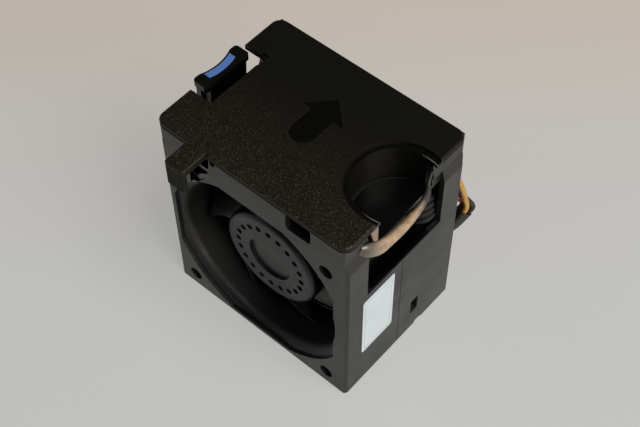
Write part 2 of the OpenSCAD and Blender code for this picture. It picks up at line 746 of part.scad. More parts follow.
module bearing_pair() for (y = [front_bearing_y, rear_bearing_y]) translate([0, y, 0]) children();

module bearing_inner_rings() color([0.75, 0.75, 0.78]) in_place() bearing_pair() difference() {
    disc_y(shaft_r + race_t, 0, bearing_w);
    disc_y(shaft_r, -1, bearing_w + 1);
    ball_groove();
}

module bearing_outer_rings() color([0.72, 0.72, 0.75]) in_place() bearing_pair() difference() {
    disc_y(bearing_r, 0, bearing_w);
    disc_y(bearing_r - race_t, -1, bearing_w + 1);
    ball_groove();
}

// Track that the balls run in
module ball_groove() about_axis() translate([ball_ring_r, bearing_w / 2]) circle(ball_r + run_gap);

module bearing_balls() color([0.85, 0.85, 0.87]) in_place() bearing_pair()
    for (i = [0:6]) rotate([0, 360 * i / 7, 0]) translate([ball_ring_r, bearing_w / 2, 0]) sphere(ball_r);

module bearing_tube() color([0.72, 0.58, 0.3]) in_place() difference() {
    disc_y(tube_out, tube_y0, base_y + base_t - 0.8);
    disc_y(tube_in, tube_y0 - 1, front_bearing_y + bearing_w);
    disc_y(tube_in - 0.6, front_bearing_y, rear_bearing_y + 1);
    disc_y(tube_in, rear_bearing_y, base_y + base_t);
}

// Spring between the rotor cup and the front bearing's inner ring
module preload_spring() color([0.7, 0.7, 0.72]) in_place() {
    y0 = cup_y0 + collar_len;
    y1 = front_bearing_y;
    wire = 0.35;
    turns = 2;
    steps = 14;
    coil_r = shaft_r + run_gap + wire / 2 + 0.1;
    count = turns * steps;
    sides = 6;
    rings = [for (i = [0:count]) let (a = 360 * i / steps, y = y0 + wire / 2 + (y1 - y0 - wire) * i / count)
        for (k = [0:sides - 1]) let (b = 360 * k / sides, r = coil_r + wire / 2 * cos(b))
            [r * cos(a), y + wire / 2 * sin(b), r * sin(a)]];
    closed_tube(rings, count + 1, sides);
}

// E-clip in the groove at the shaft's end
module retaining_clip() color([0.5, 0.5, 0.52]) in_place() difference() {
    disc_y(shaft_r + 0.9, clip_y, clip_y + 0.5);
    disc_y(shaft_r - 0.4, clip_y - 1, clip_y + 1);
    box([-0.9, clip_y - 1, 0], [0.9, clip_y + 1, shaft_r + 2]);
}

tooth_w = 3;
shoe_t = 1.3;
core_r = tube_out + 1.5;

// Laminated core: a ring on the bearing tube, teeth and pole shoes
module core_outline(grow = 0) difference() {
    union() {
        circle(core_r + grow);
        intersection() {
            circle(stator_r - (grow > 0 ? 0.3 : 0));
            for (i = [0:tooth_count - 1]) rotate(360 * i / tooth_count)
                translate([0, -tooth_w / 2 - grow]) square([stator_r, tooth_w + 2 * grow]);
        }
        difference() {
            circle(stator_r - (grow > 0 ? 0.3 : 0));
            circle(stator_r - shoe_t);
            for (i = [0:tooth_count - 1]) rotate(360 * (i + 0.5) / tooth_count)
                translate([0, -0.9]) square([stator_r + 1, 1.8]);
        }
    }
    circle(tube_out);
}

module stator_core() color([0.45, 0.46, 0.48]) in_place()
    along_y(stator_y0, stator_y0 + stator_len) core_outline();

// Plastic end plates that keep the windings off the steel
module stator_insulators() color([0.8, 0.78, 0.7]) in_place()
    for (y = [stator_y0 - 0.6, stator_y0 + stator_len]) along_y(y, y + 0.6) core_outline(0.3);

// Copper coil round each tooth
module stator_windings() color([0.72, 0.38, 0.2]) in_place() {
    coil_t = 1.1;
    half = tooth_w / 2 + 0.45;
    shoe_r = stator_r - shoe_t;
    r0 = core_r + 0.45;
    r1 = sqrt(shoe_r * shoe_r - (half + coil_t) * (half + coil_t)) - 0.25;
    for (i = [0:tooth_count - 1]) rotate([0, -360 * i / tooth_count, 0]) difference() {
        box([r0, stator_y0 - 0.6 - coil_t, -half - coil_t],
            [r1, stator_y0 + stator_len + 0.6 + coil_t, half + coil_t]);
        box([r0 - 1, stator_y0 - 0.6, -half], [r1 + 1, stator_y0 + stator_len + 0.6, half]);
    }
}

module circuit_board() color([0.1, 0.3, 0.2]) in_place() difference() {
    ring_y(cup_in - 0.5, tube_out, board_y, board_y + board_t);
    rotate([0, lead_angle, 0]) for (i = [0:3]) translate([hub_r - 4.8, 0, lead_pitch * (i - 1.5)])
        disc_y(0.45, board_y - 1, board_y + board_t + 1);
}

// Drive chip, position sensor and three small capacitors
module board_components() color([0.15, 0.15, 0.15]) in_place() {
    y1 = board_y + board_t;
    box([-10.5, y1, -2.5], [-6.5, y1 + 1.1, 2.5]);
    box([-1.5, board_y - 1.4, -11.5], [1.5, board_y, -9]);
    for (i = [-1, 0, 1]) box([i * 3 - 0.8, y1, 8], [i * 3 + 0.8, y1 + 0.9, 9.2]);
}

// ---- Fan lead ------------------------------------------------------------------------------

lead_pitch = 1.85;
wire_gap = 0.06;
wire_sides = 8;

// Point at a radius along the lead vane, and i wires to its side
function on_vane(r, y, side) = [r * cos(-lead_angle) - side * sin(-lead_angle), y,
                                r * sin(-lead_angle) + side * cos(-lead_angle)];

// Start of each wire: out of the board, through the motor base, along the lead vane and out of the duct
function wire_start(i) = let (o = lead_pitch * (i - 1.5)) [
    on_vane(hub_r - 4.8, board_y + board_t, o), on_vane(hub_r - 4.8, base_y + 1.6, o),
    on_vane(hub_r - 2.5, base_y + 3.1, o), on_vane(duct_r + 2.8, base_y + 3.2, o)];

// The routes are written for a 60 mm fan in a carrier 46.4 mm deep. They follow the fan's square, the
// right wall and the exhaust face, and keep their place at the connector.
function placed(p) = [inner_right - p[0], p[1] + (body_depth - 46.4) * min(1, max(0, (p[1] - 32) / 12)), p[2] * u];

// Each wire's route from the duct wall out through the exhaust face and into the sleeve, and the
// sleeve's own route back in to the connector: [inset from the right wall, y, height]
red_route = [[1.1, 41.01, 13.42], [0.94, 47.19, 13.13], [1.29, 50.74, 10.4], [1.42, 53.03, 6.4],
             [1.22, 54.16, 4.2]];
blue_route = [[1.3, 41.02, 15.3], [1.4, 47.41, 15.01], [2.59, 51.54, 11.7], [1.75, 54.81, 6.93],
              [0.12, 56.67, 3.35]];
black_route = [[1.45, 40.61, 17.42], [1.33, 47.86, 17.04], [1.09, 51.93, 13.15], [-0.12, 54.76, 7.54],
               [-1.88, 55.67, 3.53]];
yellow_route = [[1.71, 40.4, 19.54], [0.74, 47.76, 19.58], [-0.77, 50.22, 15.44], [-0.66, 52.64, 8.36],
                [-0.87, 53.47, 4.66]];
sleeve_route = [[-0.3, 54.3, 1.6], [0.9, 51.9, -2.4], [2.9, 49.8, -7.6], [3.3, 49, -13.8],
                [2.45, 45.6, -17.2], [3.4, 36.2, -17]];

// Side vectors carried along a route, each one squared up to its own stretch, so nothing twists
function carried(path, start) = [for (j = 0, u = squared(start, way(path, 0)); j < len(path);
    j = j + 1, u = squared(u, way(path, min(j, len(path) - 1)))) u];
function squared(u, t) = unit(u - t * (u * t));

// Tube of a radius along a route
module tube_along(path, radius, sides, start) {
    us = carried(path, start);
    rings = [for (j = [0:len(path) - 1]) let (u = us[j], v = cross(way(path, j), u))
        for (k = [0:sides - 1])
            path[j] + radius * (u * cos(360 * k / sides) + v * sin(360 * k / sides))];
    closed_tube(rings, len(path), sides);
}

// The four wires lie in a square inside the sleeve; a wire's place is its two signs across the sleeve
sleeve_wall = 0.25;
sleeve_sides = 12;
sleeve_bore = (wire_d + wire_gap) / sqrt(2) + wire_d / 2 + 0.13;
sleeve_start = [1, -0.6, 0];
sleeve_path = [for (p = sleeve_route) placed(p)];
sleeve_us = carried(sleeve_path, sleeve_start);
function in_sleeve(place) = [for (j = [0:len(sleeve_path) - 1])
    sleeve_path[j] + (wire_d + wire_gap) / 2
        * (place[0] * sleeve_us[j] + place[1] * cross(way(sleeve_path, j), sleeve_us[j]))];

// One wire: its start, its route, its place in the sleeve and its contact
module wire(i, route, place, contact) {
    path = concat(wire_start(i), [for (p = route) placed(p)], in_sleeve(place),
                  [for (z = [1.6 - 0.6 * contact[1], 0])
                      [contact_x[contact[0]], contact_y[contact[1]], plug_top + z]]);
    tube_along(path, wire_d / 2, wire_sides, cross(way(path, 0), [0.3, 0.5, 1]));
}

module red_wire() color([0.6, 0.15, 0.1]) in_place() wire(0, red_route, [-1, 1], [0, 0]);
module blue_wire() color([0.35, 0.45, 0.55]) in_place() wire(1, blue_route, [-1, -1], [0, 1]);
module black_wire() color([0.06, 0.06, 0.06]) in_place() wire(2, black_route, [1, -1], [1, 1]);
module yellow_wire() color([0.8, 0.55, 0.15]) in_place() wire(3, yellow_route, [1, 1], [1, 0]);

// Shrunk sleeve round the wires where they go back into the carrier
module lead_sleeve() color([0.05, 0.05, 0.05]) in_place() difference() {
    tube_along(sleeve_path, sleeve_bore + sleeve_wall, sleeve_sides, sleeve_start);
    tube_along(lengthened(sleeve_path), sleeve_bore, sleeve_sides, sleeve_start);
}
function lengthened(p) = let (n = len(p) - 1) concat([p[0] - way(p, 0)], [for (j = [0:n]) p[j]], [p[n] + way(p, n)]);

// Blind-mate connector that faces the chassis board through the floor
module connector_shell() color([0.85, 0.83, 0.76]) in_place() difference() {
    box([plug_x0, plug_y0, floor_z], [plug_x1, plug_y0 + plug_l, plug_top]);
    for (x = contact_x, y = contact_y) {
        translate([x, y, floor_z - 1]) cylinder(r = 0.8, h = 6.5);
        translate([x, y, plug_top - 4.01]) cylinder(r = 0.45, h = 5);
    }
}

module connector_contacts() color([0.8, 0.68, 0.35]) in_place()
    for (x = contact_x, y = contact_y) translate([x, y, floor_z + 1]) difference() {
        cylinder(r = 0.8, h = 4.5);
        translate([0, 0, -1]) cylinder(r = 0.45, h = 4.5);
    }

front_housing();
rear_housing();
guide_vanes();
top_cover();
finger_bar();
release_latch();
latch_stripe();
label_sticker();
impeller();
rotor_cup();
ring_magnet();
shaft();
bearing_inner_rings();
bearing_outer_rings();
bearing_balls();
bearing_tube();
preload_spring();
retaining_clip();
stator_core();
stator_insulators();
stator_windings();
circuit_board();
board_components();
red_wire();
blue_wire();
yellow_wire();
black_wire();
lead_sleeve();
connector_shell();
connector_contacts();
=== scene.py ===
"""Server fan module: finishes, smooth skins, lead and studio stage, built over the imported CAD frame.

Lengths in the property groups are metres. The fan's own frame has its origin on the fan axis at the
intake face and is in millimetres; in_row() carries a point from it to the module's frame.
"""

import math

import bpy
import numpy as np
from bpy.props import FloatProperty, FloatVectorProperty, IntProperty, PointerProperty
from mathutils import Matrix, Vector


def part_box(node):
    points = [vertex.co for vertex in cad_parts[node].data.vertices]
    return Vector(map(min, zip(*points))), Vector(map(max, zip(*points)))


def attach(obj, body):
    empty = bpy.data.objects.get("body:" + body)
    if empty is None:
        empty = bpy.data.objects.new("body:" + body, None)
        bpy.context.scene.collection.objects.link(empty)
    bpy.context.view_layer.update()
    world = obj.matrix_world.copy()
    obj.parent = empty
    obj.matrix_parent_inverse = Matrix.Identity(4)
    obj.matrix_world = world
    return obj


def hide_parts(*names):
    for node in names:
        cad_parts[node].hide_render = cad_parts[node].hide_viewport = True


bl_info = {
    "name": "Server Fan Module",
    "version": (1, 0, 0),
    "blender": (4, 5, 0),
    "location": "View3D > Sidebar > Fan Module",
    "description": "Dresses a server fan module: moulded carrier, lid, grip bar, impeller, lead and stage",
    "category": "Object",
}

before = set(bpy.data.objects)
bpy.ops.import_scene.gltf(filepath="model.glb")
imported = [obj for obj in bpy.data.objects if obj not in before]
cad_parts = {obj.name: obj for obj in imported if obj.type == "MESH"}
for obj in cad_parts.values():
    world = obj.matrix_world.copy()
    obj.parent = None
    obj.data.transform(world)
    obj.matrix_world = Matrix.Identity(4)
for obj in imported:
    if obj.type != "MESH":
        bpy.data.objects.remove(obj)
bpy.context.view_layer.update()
MM = 0.001
FAN_ORIGIN = np.array([0.0, -0.0232, 0.03])

# The places below mark where shade is painted: the carrier's pocket, duct, room and relief, and the lid's pocket
# wall
# Finger pocket: its axis, its radius, how far beyond it the mask reaches, the width of the ledge round it
# and the place of its front post
POCKET_X, POCKET_Y, POCKET_R, POCKET_SLACK, LEDGE_W, POST_X = 30.05, 21.9, 11.6, 0.3, 2.2, 31.8
# Duct with its mouth: radius, and the depth where it begins
MOUTH_R, MOUTH_Y = 31.6, 0.7
# Room between the deck and the lid: half width, height over the fan axis, and the depth where it begins
ROOM_X, ROOM_UP, ROOM_Y = 27.5, 23.2, 1.9
# Relief behind the hook tab: right end, height over the fan axis, and the depth where it begins
RELIEF_X, RELIEF_UP, RELIEF_Y = -8.5, 20.5, 0.05
# Lid's parts behind the hook tab, where shade is painted: left and right end, and the depth where they begin
HIDDEN_LEFT, HIDDEN_RIGHT, HIDDEN_Y = -28.5, -8.0, -8.9
# Depths under the lid's top that hold its face, the sunk arrow's floor and the ledge, and where its lower
# parts begin; half width of the painted highlight on the ledge's inner edge
LID_FACE, LID_SUNK, LID_LEDGE, LID_UNDER, RIM_HALF = 0.3, 0.7, 1.1, 2.1, 0.16
# Distances from the lid's front edge over which painted light on its grain grows
LIT_FROM, LIT_TO = 45, 4
# Depth of the exhaust face
EXHAUST_Y = 46.4
# Colour of settled dust, and the grain's depth in metres
DUST_TONE, GRAIN_DEPTH = (0.32, 0.3, 0.26), 0.00012
# Roughness added on the carrier's inner faces, on the lid's sides and at the grip bar's rear end, and
# taken off in the pocket with the relief and in the lid's sunk parts
INNER_DULLER, SIDE_DULLER, END_DULLER, POCKET_SMOOTHER, SUNK_SMOOTHER = 0.15, 0.24, 0.35, 0.35, 0.42


def in_row(points):
    """Fan-frame millimetres to module-frame metres: p * 0.001 + (0, -0.0232, 0.03)."""
    return np.asarray(points, float) * MM + FAN_ORIGIN


def at(axis, mm):
    """One fan-frame coordinate in module-frame metres."""
    return float(mm * MM + FAN_ORIGIN["XYZ".index(axis)])


def shaded(tone, *by):
    """A colour times one factor, or times one for each channel."""
    return tuple(c * k for c, k in zip(tone, by if len(by) == 3 else by * 3))


# ---- Property groups -------------------------------------------------------------------------


def length(name, default, description):
    """A size in metres."""
    return FloatProperty(name=name, description=description, default=default, min=0.0, unit="LENGTH", precision=5)


def colour(name, default, description):
    """A linear colour."""
    return FloatVectorProperty(
        name=name, description=description, default=default, size=3, min=0.0, max=1.0, subtype="COLOR"
    )


def factor(name, default, description):
    """A number from 0 to 1."""
    return FloatProperty(name=name, description=description, default=default, min=0.0, max=1.0, subtype="FACTOR")


def strength(name, default, description):
    """A brightness, where 1 is white."""
    return FloatProperty(name=name, description=description, default=default, min=0.0, max=4.0)


def watts(name, default, description):
    """The power of a lamp."""
    return FloatProperty(name=name, description=description, default=default, min=0.0, unit="POWER")


def degrees(name, default, description):
    """An angle of the camera."""
    return FloatProperty(name=name, description=description, default=default)


class CarrierFinish(bpy.types.PropertyGroup):
    plastic: colour("Plastic", (0.0085, 0.0083, 0.0078), "Colour of the moulded carrier")
    # Painted highlight: the lighter colour of the grain's tips stands in for lit facets, spread over the whole
    # moulding
    lit_grain: colour("Lit grain tip", (0.035, 0.034, 0.03), "Colour of the grain's lit tips, a painted highlight")
    # Painted shade: a near-black colour on the duct, the pocket's floor and the lid's room, where shade falls
    inside: colour("Inside", (0.0012, 0.0016, 0.0014), "Colour of the duct, the pocket's floor and the lid's room")
    latch: colour("Latch", (0.0036, 0.0033, 0.0024), "Colour of the release latch")
    roughness: factor("Roughness", 0.4, "Roughness of the satin moulding")
    grain: length("Grain", 0.00035, "Size of the moulding's grain")


class LidFinish(bpy.types.PropertyGroup):
    plastic: colour("Plastic", (0.0026, 0.0025, 0.0014), "Colour of the spark-grained lid")
    # Painted highlights: glint on the grain's lit tips and spark on the brightest grains, both growing towards the
    # front edge
    glint: colour("Glint", (0.016, 0.012, 0.007), "Colour of the grain's lit tips")
    spark: colour("Spark", (0.27, 0.205, 0.125), "Colour of the brightest grains")
    # Painted highlight on the ledge's inner edge
    edge_highlight: colour("Rim", (0.14, 0.14, 0.12), "Painted highlight on the inner edge of the ledge round the pocket")
    # Painted highlight: a warm colour on the pocket's front post stands in for a lamp's reflection
    post: colour("Post", (0.2, 0.14, 0.1), "Colour of the pocket's highlit front post")
    # Painted shade: a near-black colour on the pocket's wall and on the parts behind the hook tab
    inside: colour("Inside", (0.001, 0.0012, 0.001), "Colour of the pocket's wall and of what the hook tab hides")
    roughness: factor("Roughness", 0.5, "Roughness of the grained lid")
    grain: length("Grain", 0.0003, "Size of the spark grain")


class GripFinish(bpy.types.PropertyGroup):
    # Painted highlight: the warm plastic colour and the dimmer root stand in for a lamp's reflection on the black
    # moulding; the end is its own colour
    plastic: colour("Plastic", (0.4, 0.29, 0.185), "Colour of the bar where it is highlit")
    root: colour("Root", (0.05, 0.046, 0.036), "Colour of the bar's front root")
    end: colour("End", (0.0085, 0.0083, 0.0078), "Colour where the bar runs into the rear housing")
    roughness: factor("Roughness", 0.3, "Roughness of the glossy bar")


class AccentFinish(bpy.types.PropertyGroup):
    blue: colour("Touch blue", (0.118, 0.25, 0.62), "Colour of the latch's touch stripe")
    label: colour("Label", (0.48, 0.55, 0.6), "Colour of the label's stock")
    rule: colour("Label rule", (0.3, 0.34, 0.36), "Colour of the plain printed frame")
    margin: length("Label margin", 0.0009, "Distance of the printed frame from the label's edge")
    line: length("Rule width", 0.0002, "Width of the printed frame's line")


class RotorFinish(bpy.types.PropertyGroup):
    plastic: colour("Plastic", (0.008, 0.008, 0.0078), "Colour of the impeller")
    tip: colour("Grain tip", (0.02, 0.02, 0.019), "Colour of the impeller's lit grain")
    roughness: factor("Roughness", 0.38, "Roughness of the impeller")
    skin: length("Skin", 0.00018, "How far the smooth blade skins stand over the solid blades")


class LeadFinish(bpy.types.PropertyGroup):
    diameter: length("Wire diameter", 0.0016, "Outer diameter of one wire")
    red: colour("Red", (0.27, 0.06, 0.025), "Insulation of the first wire")
    blue: colour("Blue", (0.1, 0.16, 0.22), "Insulation of the second wire")
    yellow: colour("Yellow", (0.45, 0.25, 0.05), "Insulation of the third wire")
    black: colour("Black", (0.01, 0.01, 0.009), "Insulation of the fourth wire")
    sleeve: colour("Sleeve", (0.009, 0.0095, 0.009), "Shrunk sleeve round the wires")
    # Painted shade: the wires take a near-black colour between two depths inside the carrier
    wire_shade: colour("Wire shade", (0.002, 0.002, 0.002), "Near-black painted shade on the wires inside the carrier")
    sides: IntProperty(name="Sides", description="Sides of one wire's tube", default=16, min=8, max=32)


class StageLook(bpy.types.PropertyGroup):
    azimuth: degrees("Azimuth", 41.233, "Camera azimuth in degrees")
    elevation: degrees("Elevation", 54.06, "Camera elevation in degrees")
    roll: degrees("Roll", -0.591, "Camera roll in degrees")
    distance: length("Distance", 0.383194, "Distance from the camera to its target")
    lens: FloatProperty(name="Lens", description="Focal length on a 36 mm sensor", default=70.81, unit="CAMERA")
    floor: colour("Floor", (0.69, 0.69, 0.675), "Colour of the floor near the camera")
    floor_far: colour("Far floor", (0.71, 0.6, 0.5), "Colour of the floor beyond the part")
    top: watts("Top", 6.0, "Power of the lamp overhead in watts")
    fill: watts("Fill", 0.8, "Power of the fill lamp in watts")
    side: watts("Side", 12.0, "Power of the warm side lamp in watts")
    ambient: strength("Ambient", 0.06, "Strength of the surrounding room")
    level: strength("Level", 0.86, "Brightness of the floor's own even tone")


GROUPS = {
    "fan_carrier": CarrierFinish,
    "fan_lid": LidFinish,
    "fan_grip": GripFinish,
    "fan_accent": AccentFinish,
    "fan_rotor": RotorFinish,
    "fan_lead": LeadFinish,
    "fan_stage": StageLook,
}


# ---- Surfaces --------------------------------------------------------------------------------


def sheet_faces(rows, cols, wrap, ring=False):
    """Quads of a rows x cols grid of points, wrapped round the columns, and round the rows, if asked."""
    i, j = np.meshgrid(np.arange(rows if ring else rows - 1), np.arange(cols if wrap else cols - 1), indexing="ij")
    k, m = (j + 1) % cols, (i + 1) % rows
    return np.stack([i * cols + j, i * cols + k, m * cols + k, m * cols + j], axis=-1).reshape(-1, 4)


def add_object(name, data):
    """A new object in the scene, at the origin."""
    made = bpy.data.objects.new(name, data)
    bpy.context.scene.collection.objects.link(made)
    return made


def make_piece(name, points, faces, body, material):
    """A smooth mesh piece in the module's frame that rides on a CAD body. Its faces have to point out."""
    mesh = bpy.data.meshes.new(name)
    mesh.from_pydata(np.asarray(points, float).reshape(-1, 3).tolist(), [], [list(map(int, f)) for f in faces])
    mesh.validate()
    piece = add_object(name, mesh)
    mesh.polygons.foreach_set("use_smooth", np.ones(len(mesh.polygons), bool))
    mesh.materials.append(material)
    mesh.update()
    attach(piece, body)
    return piece


def ring_angles(sides):
    """Even angles round a ring, shaped to combine with a path of points."""
    return np.linspace(0, 2 * np.pi, sides, endpoint=False)[None, :, None]


def smooth_route(points, steps):
    """Catmull-Rom curve: between two points, 0.5 * (2b + (c-a)t + (2a-5b+4c-d)t^2 + (3b-a-3c+d)t^3)."""
    p = np.asarray(points, float)
    a = np.vstack([p[:1], p[:-2]])
    d = np.vstack([p[2:], p[-1:]])
    b, c = p[:-1], p[1:]
    t = np.linspace(0, 1, steps, endpoint=False)[None, :, None]
    a, b, c, d = (x[:, None, :] for x in (a, b, c, d))
    body = 0.5 * (2 * b + (c - a) * t + (2 * a - 5 * b + 4 * c - d) * t**2 + (3 * b - a - 3 * c + d) * t**3)
    return np.vstack([body.reshape(-1, 3), p[-1:]])


def directions(path):
    """Unit tangents of a path by central differences."""
    t = np.gradient(path, axis=0)
    return t / np.linalg.norm(t, axis=1, keepdims=True)


def carried(path, seed):
    """Side vectors u and v along a path: u starts as the seed squared up to the path, and is squared up
    again at each point, so nothing twists; v = tangent x u."""
    t = directions(path)
    u = np.empty_like(path)
    w = np.asarray(seed, float)
    for i in range(len(path)):
        w = w - t[i] * (w @ t[i])
        w = w / np.linalg.norm(w)
        u[i] = w
    return u, np.cross(t, u)


def tube_points(path, radius, sides, seed=(0.3, 0.5, 1.0)):
    """Tube: point = path(s) + radius(a) * (u cos a + v sin a). The radius is one number or one per side."""
    u, v = carried(path, seed)
    a = ring_angles(sides)
    reach = np.broadcast_to(np.asarray(radius, float), (sides,))[None, :, None]
    return path[:, None, :] + reach * (u[:, None, :] * np.cos(a) + v[:, None, :] * np.sin(a))


def capped(points):
    """A ring grid as vertices and faces, closed with one face at each end."""
    rows, cols = points.shape[:2]
    faces = sheet_faces(rows, cols, True).tolist()
    faces.append(list(range(cols))[::-1])
    faces.append([(rows - 1) * cols + k for k in range(cols)])
    return points.reshape(-1, 3), faces


# ---- Materials -------------------------------------------------------------------------------


class Nodes:
    """Short hands for building one node tree. A value is a socket, a number or a colour."""

    def __init__(self, tree):
        self.tree = tree

    def add(self, kind, **values):
        node = self.tree.nodes.new(kind)
        for key, value in values.items():
            setattr(node, key, value)
        return node

    def link(self, out, into):
        self.tree.links.new(out, into)

    def put(self, value, socket):
        """Links a socket into another, or sets a number or a colour on it."""
        if isinstance(value, bpy.types.NodeSocket):
            self.link(value, socket)
        elif socket.type == "RGBA":
            socket.default_value = (*value, 1.0)[:4]
        else:
            socket.default_value = value

    def where(self):
        """Object coordinates."""
        return self.add("ShaderNodeTexCoord").outputs["Object"]

    def parts(self, vector):
        """The X, Y and Z of a vector."""
        node = self.add("ShaderNodeSeparateXYZ")
        self.link(vector, node.inputs[0])
        return tuple(node.outputs)

    def math(self, op, a, b=0.5, clamp=False):
        node = self.add("ShaderNodeMath", operation=op, use_clamp=clamp)
        for socket, value in zip(node.inputs, (a, b)):
            self.put(value, socket)
        return node.outputs[0]

    def plus(self, a, b):
        return self.math("ADD", a, b)

    def minus(self, a, b):
        return self.math("SUBTRACT", a, b)

    def product(self, first, *others):
        """Values multiplied: for masks, 1 where all of them are 1."""
        for other in others:
            first = self.math("MULTIPLY", first, other)
        return first

    def either(self, first, *others):
        """Largest of the values: for masks, 1 where any of them is 1."""
        for other in others:
            first = self.math("MAXIMUM", first, other)
        return first

    def above(self, value, limit):
        return self.math("GREATER_THAN", value, limit)

    def below(self, value, limit):
        return self.math("LESS_THAN", value, limit)

    def between(self, value, low, high):
        return self.product(self.above(value, low), self.below(value, high))

    def distance(self, a, b):
        """Length of a flat vector: sqrt(a^2 + b^2)."""
        return self.math("SQRT", self.plus(self.product(a, a), self.product(b, b)))

    def scaled(self, value, low, high, from_low=0.0, from_high=1.0, kind="LINEAR"):
        """Carries from_low..from_high to low..high, clamped."""
        node = self.add("ShaderNodeMapRange", interpolation_type=kind)
        self.link(value, node.inputs["Value"])
        limits = {"From Min": from_low, "From Max": from_high, "To Min": low, "To Max": high}
        for label, number in limits.items():
            node.inputs[label].default_value = number
        return node.outputs["Result"]

    def ramp(self, value, low, high):
        """0 at low and 1 at high, smooth between them."""
        return self.scaled(value, 0.0, 1.0, low, high, "SMOOTHSTEP")

    def mix(self, fac, a, b):
        """Colour a where fac is 0 and b where it is 1."""
        node = self.add("ShaderNodeMix", data_type="RGBA")
        first, second = (s for s in node.inputs if s.type == "RGBA")
        for socket, value in ((node.inputs[0], fac), (first, a), (second, b)):
            self.put(value, socket)
        return next(s for s in node.outputs if s.type == "RGBA")

    def noise(self, where, size, detail=2.0, rough=0.5):
        """Noise from 0 to 1 with features of a size in metres."""
        node = self.add("ShaderNodeTexNoise")
        self.link(where, node.inputs["Vector"])
        node.inputs["Detail"].default_value = detail
        node.inputs["Roughness"].default_value = rough
        linked = isinstance(size, bpy.types.NodeSocket)
        self.put(self.math("DIVIDE", 1.0, size) if linked else 1.0 / size, node.inputs["Scale"])
        return node.outputs["Fac"]

    def specks(self, value, share):
        """Peaks of a noise over a share of its range, from 0 to 1 with soft edges."""
        return self.math("MULTIPLY", self.minus(value, share), 9.0, clamp=True)

    def bump(self, shader, height, strength, depth=0.0001):
        """Bends the shader's normal by a height."""
        node = self.add("ShaderNodeBump")
        node.inputs["Distance"].default_value = depth
        self.put(strength, node.inputs["Strength"])
        self.link(height, node.inputs["Height"])
        self.link(node.outputs["Normal"], shader.inputs["Normal"])

    def group(self, tree, **values):
        """Places a node group with its own values."""
        node = self.add("ShaderNodeGroup")
        node.node_tree = tree
        for key, value in values.items():
            node.inputs[key.replace("_", " ")].default_value = value
        return node.outputs


def new_group(name, inputs, outputs):
    """A new shader node group with float sockets: its tree, short hands, given inputs and wanted outputs."""
    tree = bpy.data.node_groups.new(name, "ShaderNodeTree")
    for label, default in inputs.items():
        socket = tree.interface.new_socket(label, in_out="INPUT", socket_type="NodeSocketFloat")
        socket.default_value = default
    for label in outputs:
        tree.interface.new_socket(label, in_out="OUTPUT", socket_type="NodeSocketFloat")
    n = Nodes(tree)
    return tree, n, n.add("NodeGroupInput").outputs, n.add("NodeGroupOutput").inputs


def grain_group():
    """Moulded grain: a fine height, a mask of its lit tips and slow patches of sheen."""
    name = "Moulded grain"
    if name in bpy.data.node_groups:
        return bpy.data.node_groups[name]
    tree, n, given, out = new_group(name, {"Size": 0.0003, "Tip share": 0.62}, ("Height", "Tips", "Patches"))
    where = n.where()
    n.link(n.noise(where, given["Size"], 3.0, 0.62), out["Height"])
    speck = n.noise(where, n.product(given["Size"], 0.8), 1.0, 0.4)
    n.link(n.specks(speck, given["Tip share"]), out["Tips"])
    n.link(n.noise(where, 0.012, 4.0, 0.55), out["Patches"])
    return tree


def dust_group():
    """Dust that settles: a mask for faces that look up, broken by a fine noise."""
    name = "Settled dust"
    if name in bpy.data.node_groups:
        return bpy.data.node_groups[name]
    tree, n, given, out = new_group(name, {"Amount": 0.2}, ("Dust",))
    where = n.where()
    facing = n.ramp(n.parts(n.add("ShaderNodeNewGeometry").outputs["Normal"])[2], 0.2, 0.95)
    fine = n.ramp(n.noise(where, 0.0007, 3.0, 0.7), 0.52, 0.78)
    broad = n.ramp(n.noise(where, 0.009, 2.0, 0.5), 0.35, 0.7)
    n.link(n.product(n.product(fine, broad), n.product(facing, given["Amount"])), out["Dust"])
    return tree


def start(name):
    """A new material with its short hands and its Principled shader."""
    mat = bpy.data.materials.new(name)
    mat.use_nodes = True
    return mat, Nodes(mat.node_tree), mat.node_tree.nodes["Principled BSDF"]


def dress(node, material):
    """Puts a material on a CAD node."""
    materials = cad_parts[node].data.materials
    materials.clear()
    materials.append(material)


def pocket_mask(n, place, foot):
    """Mask of the finger pocket, inside its wall's radius and higher than foot, and the distance from its
    axis. The place is a point's three parts."""
    x, y, z = place
    far = n.distance(n.minus(x, at("X", POCKET_X)), n.minus(y, at("Y", POCKET_Y)))
    within = n.below(far, (POCKET_R + POCKET_SLACK) * MM)
    return n.product(within, n.below(x, at("X", POST_X)), n.above(z, foot)), far


def inner_faces(n, place):
    """Mask of the carrier's inner faces, where shade is painted, and of the relief behind the hook tab, which is
    one of them. The others are the duct with its mouth and the room between the deck and the lid."""
    x, y, z = place
    up = n.minus(z, at("Z", 0))
    duct = n.product(n.below(n.distance(x, up), MOUTH_R * MM), n.above(y, at("Y", MOUTH_Y)))
    width = n.below(n.math("ABSOLUTE", x), ROOM_X * MM)
    room = n.product(n.above(up, ROOM_UP * MM), width, n.above(y, at("Y", ROOM_Y)))
    left = n.below(x, at("X", RELIEF_X))
    relief = n.product(left, n.above(up, RELIEF_UP * MM), width, n.above(y, at("Y", RELIEF_Y)))
    return n.either(duct, room, relief), relief


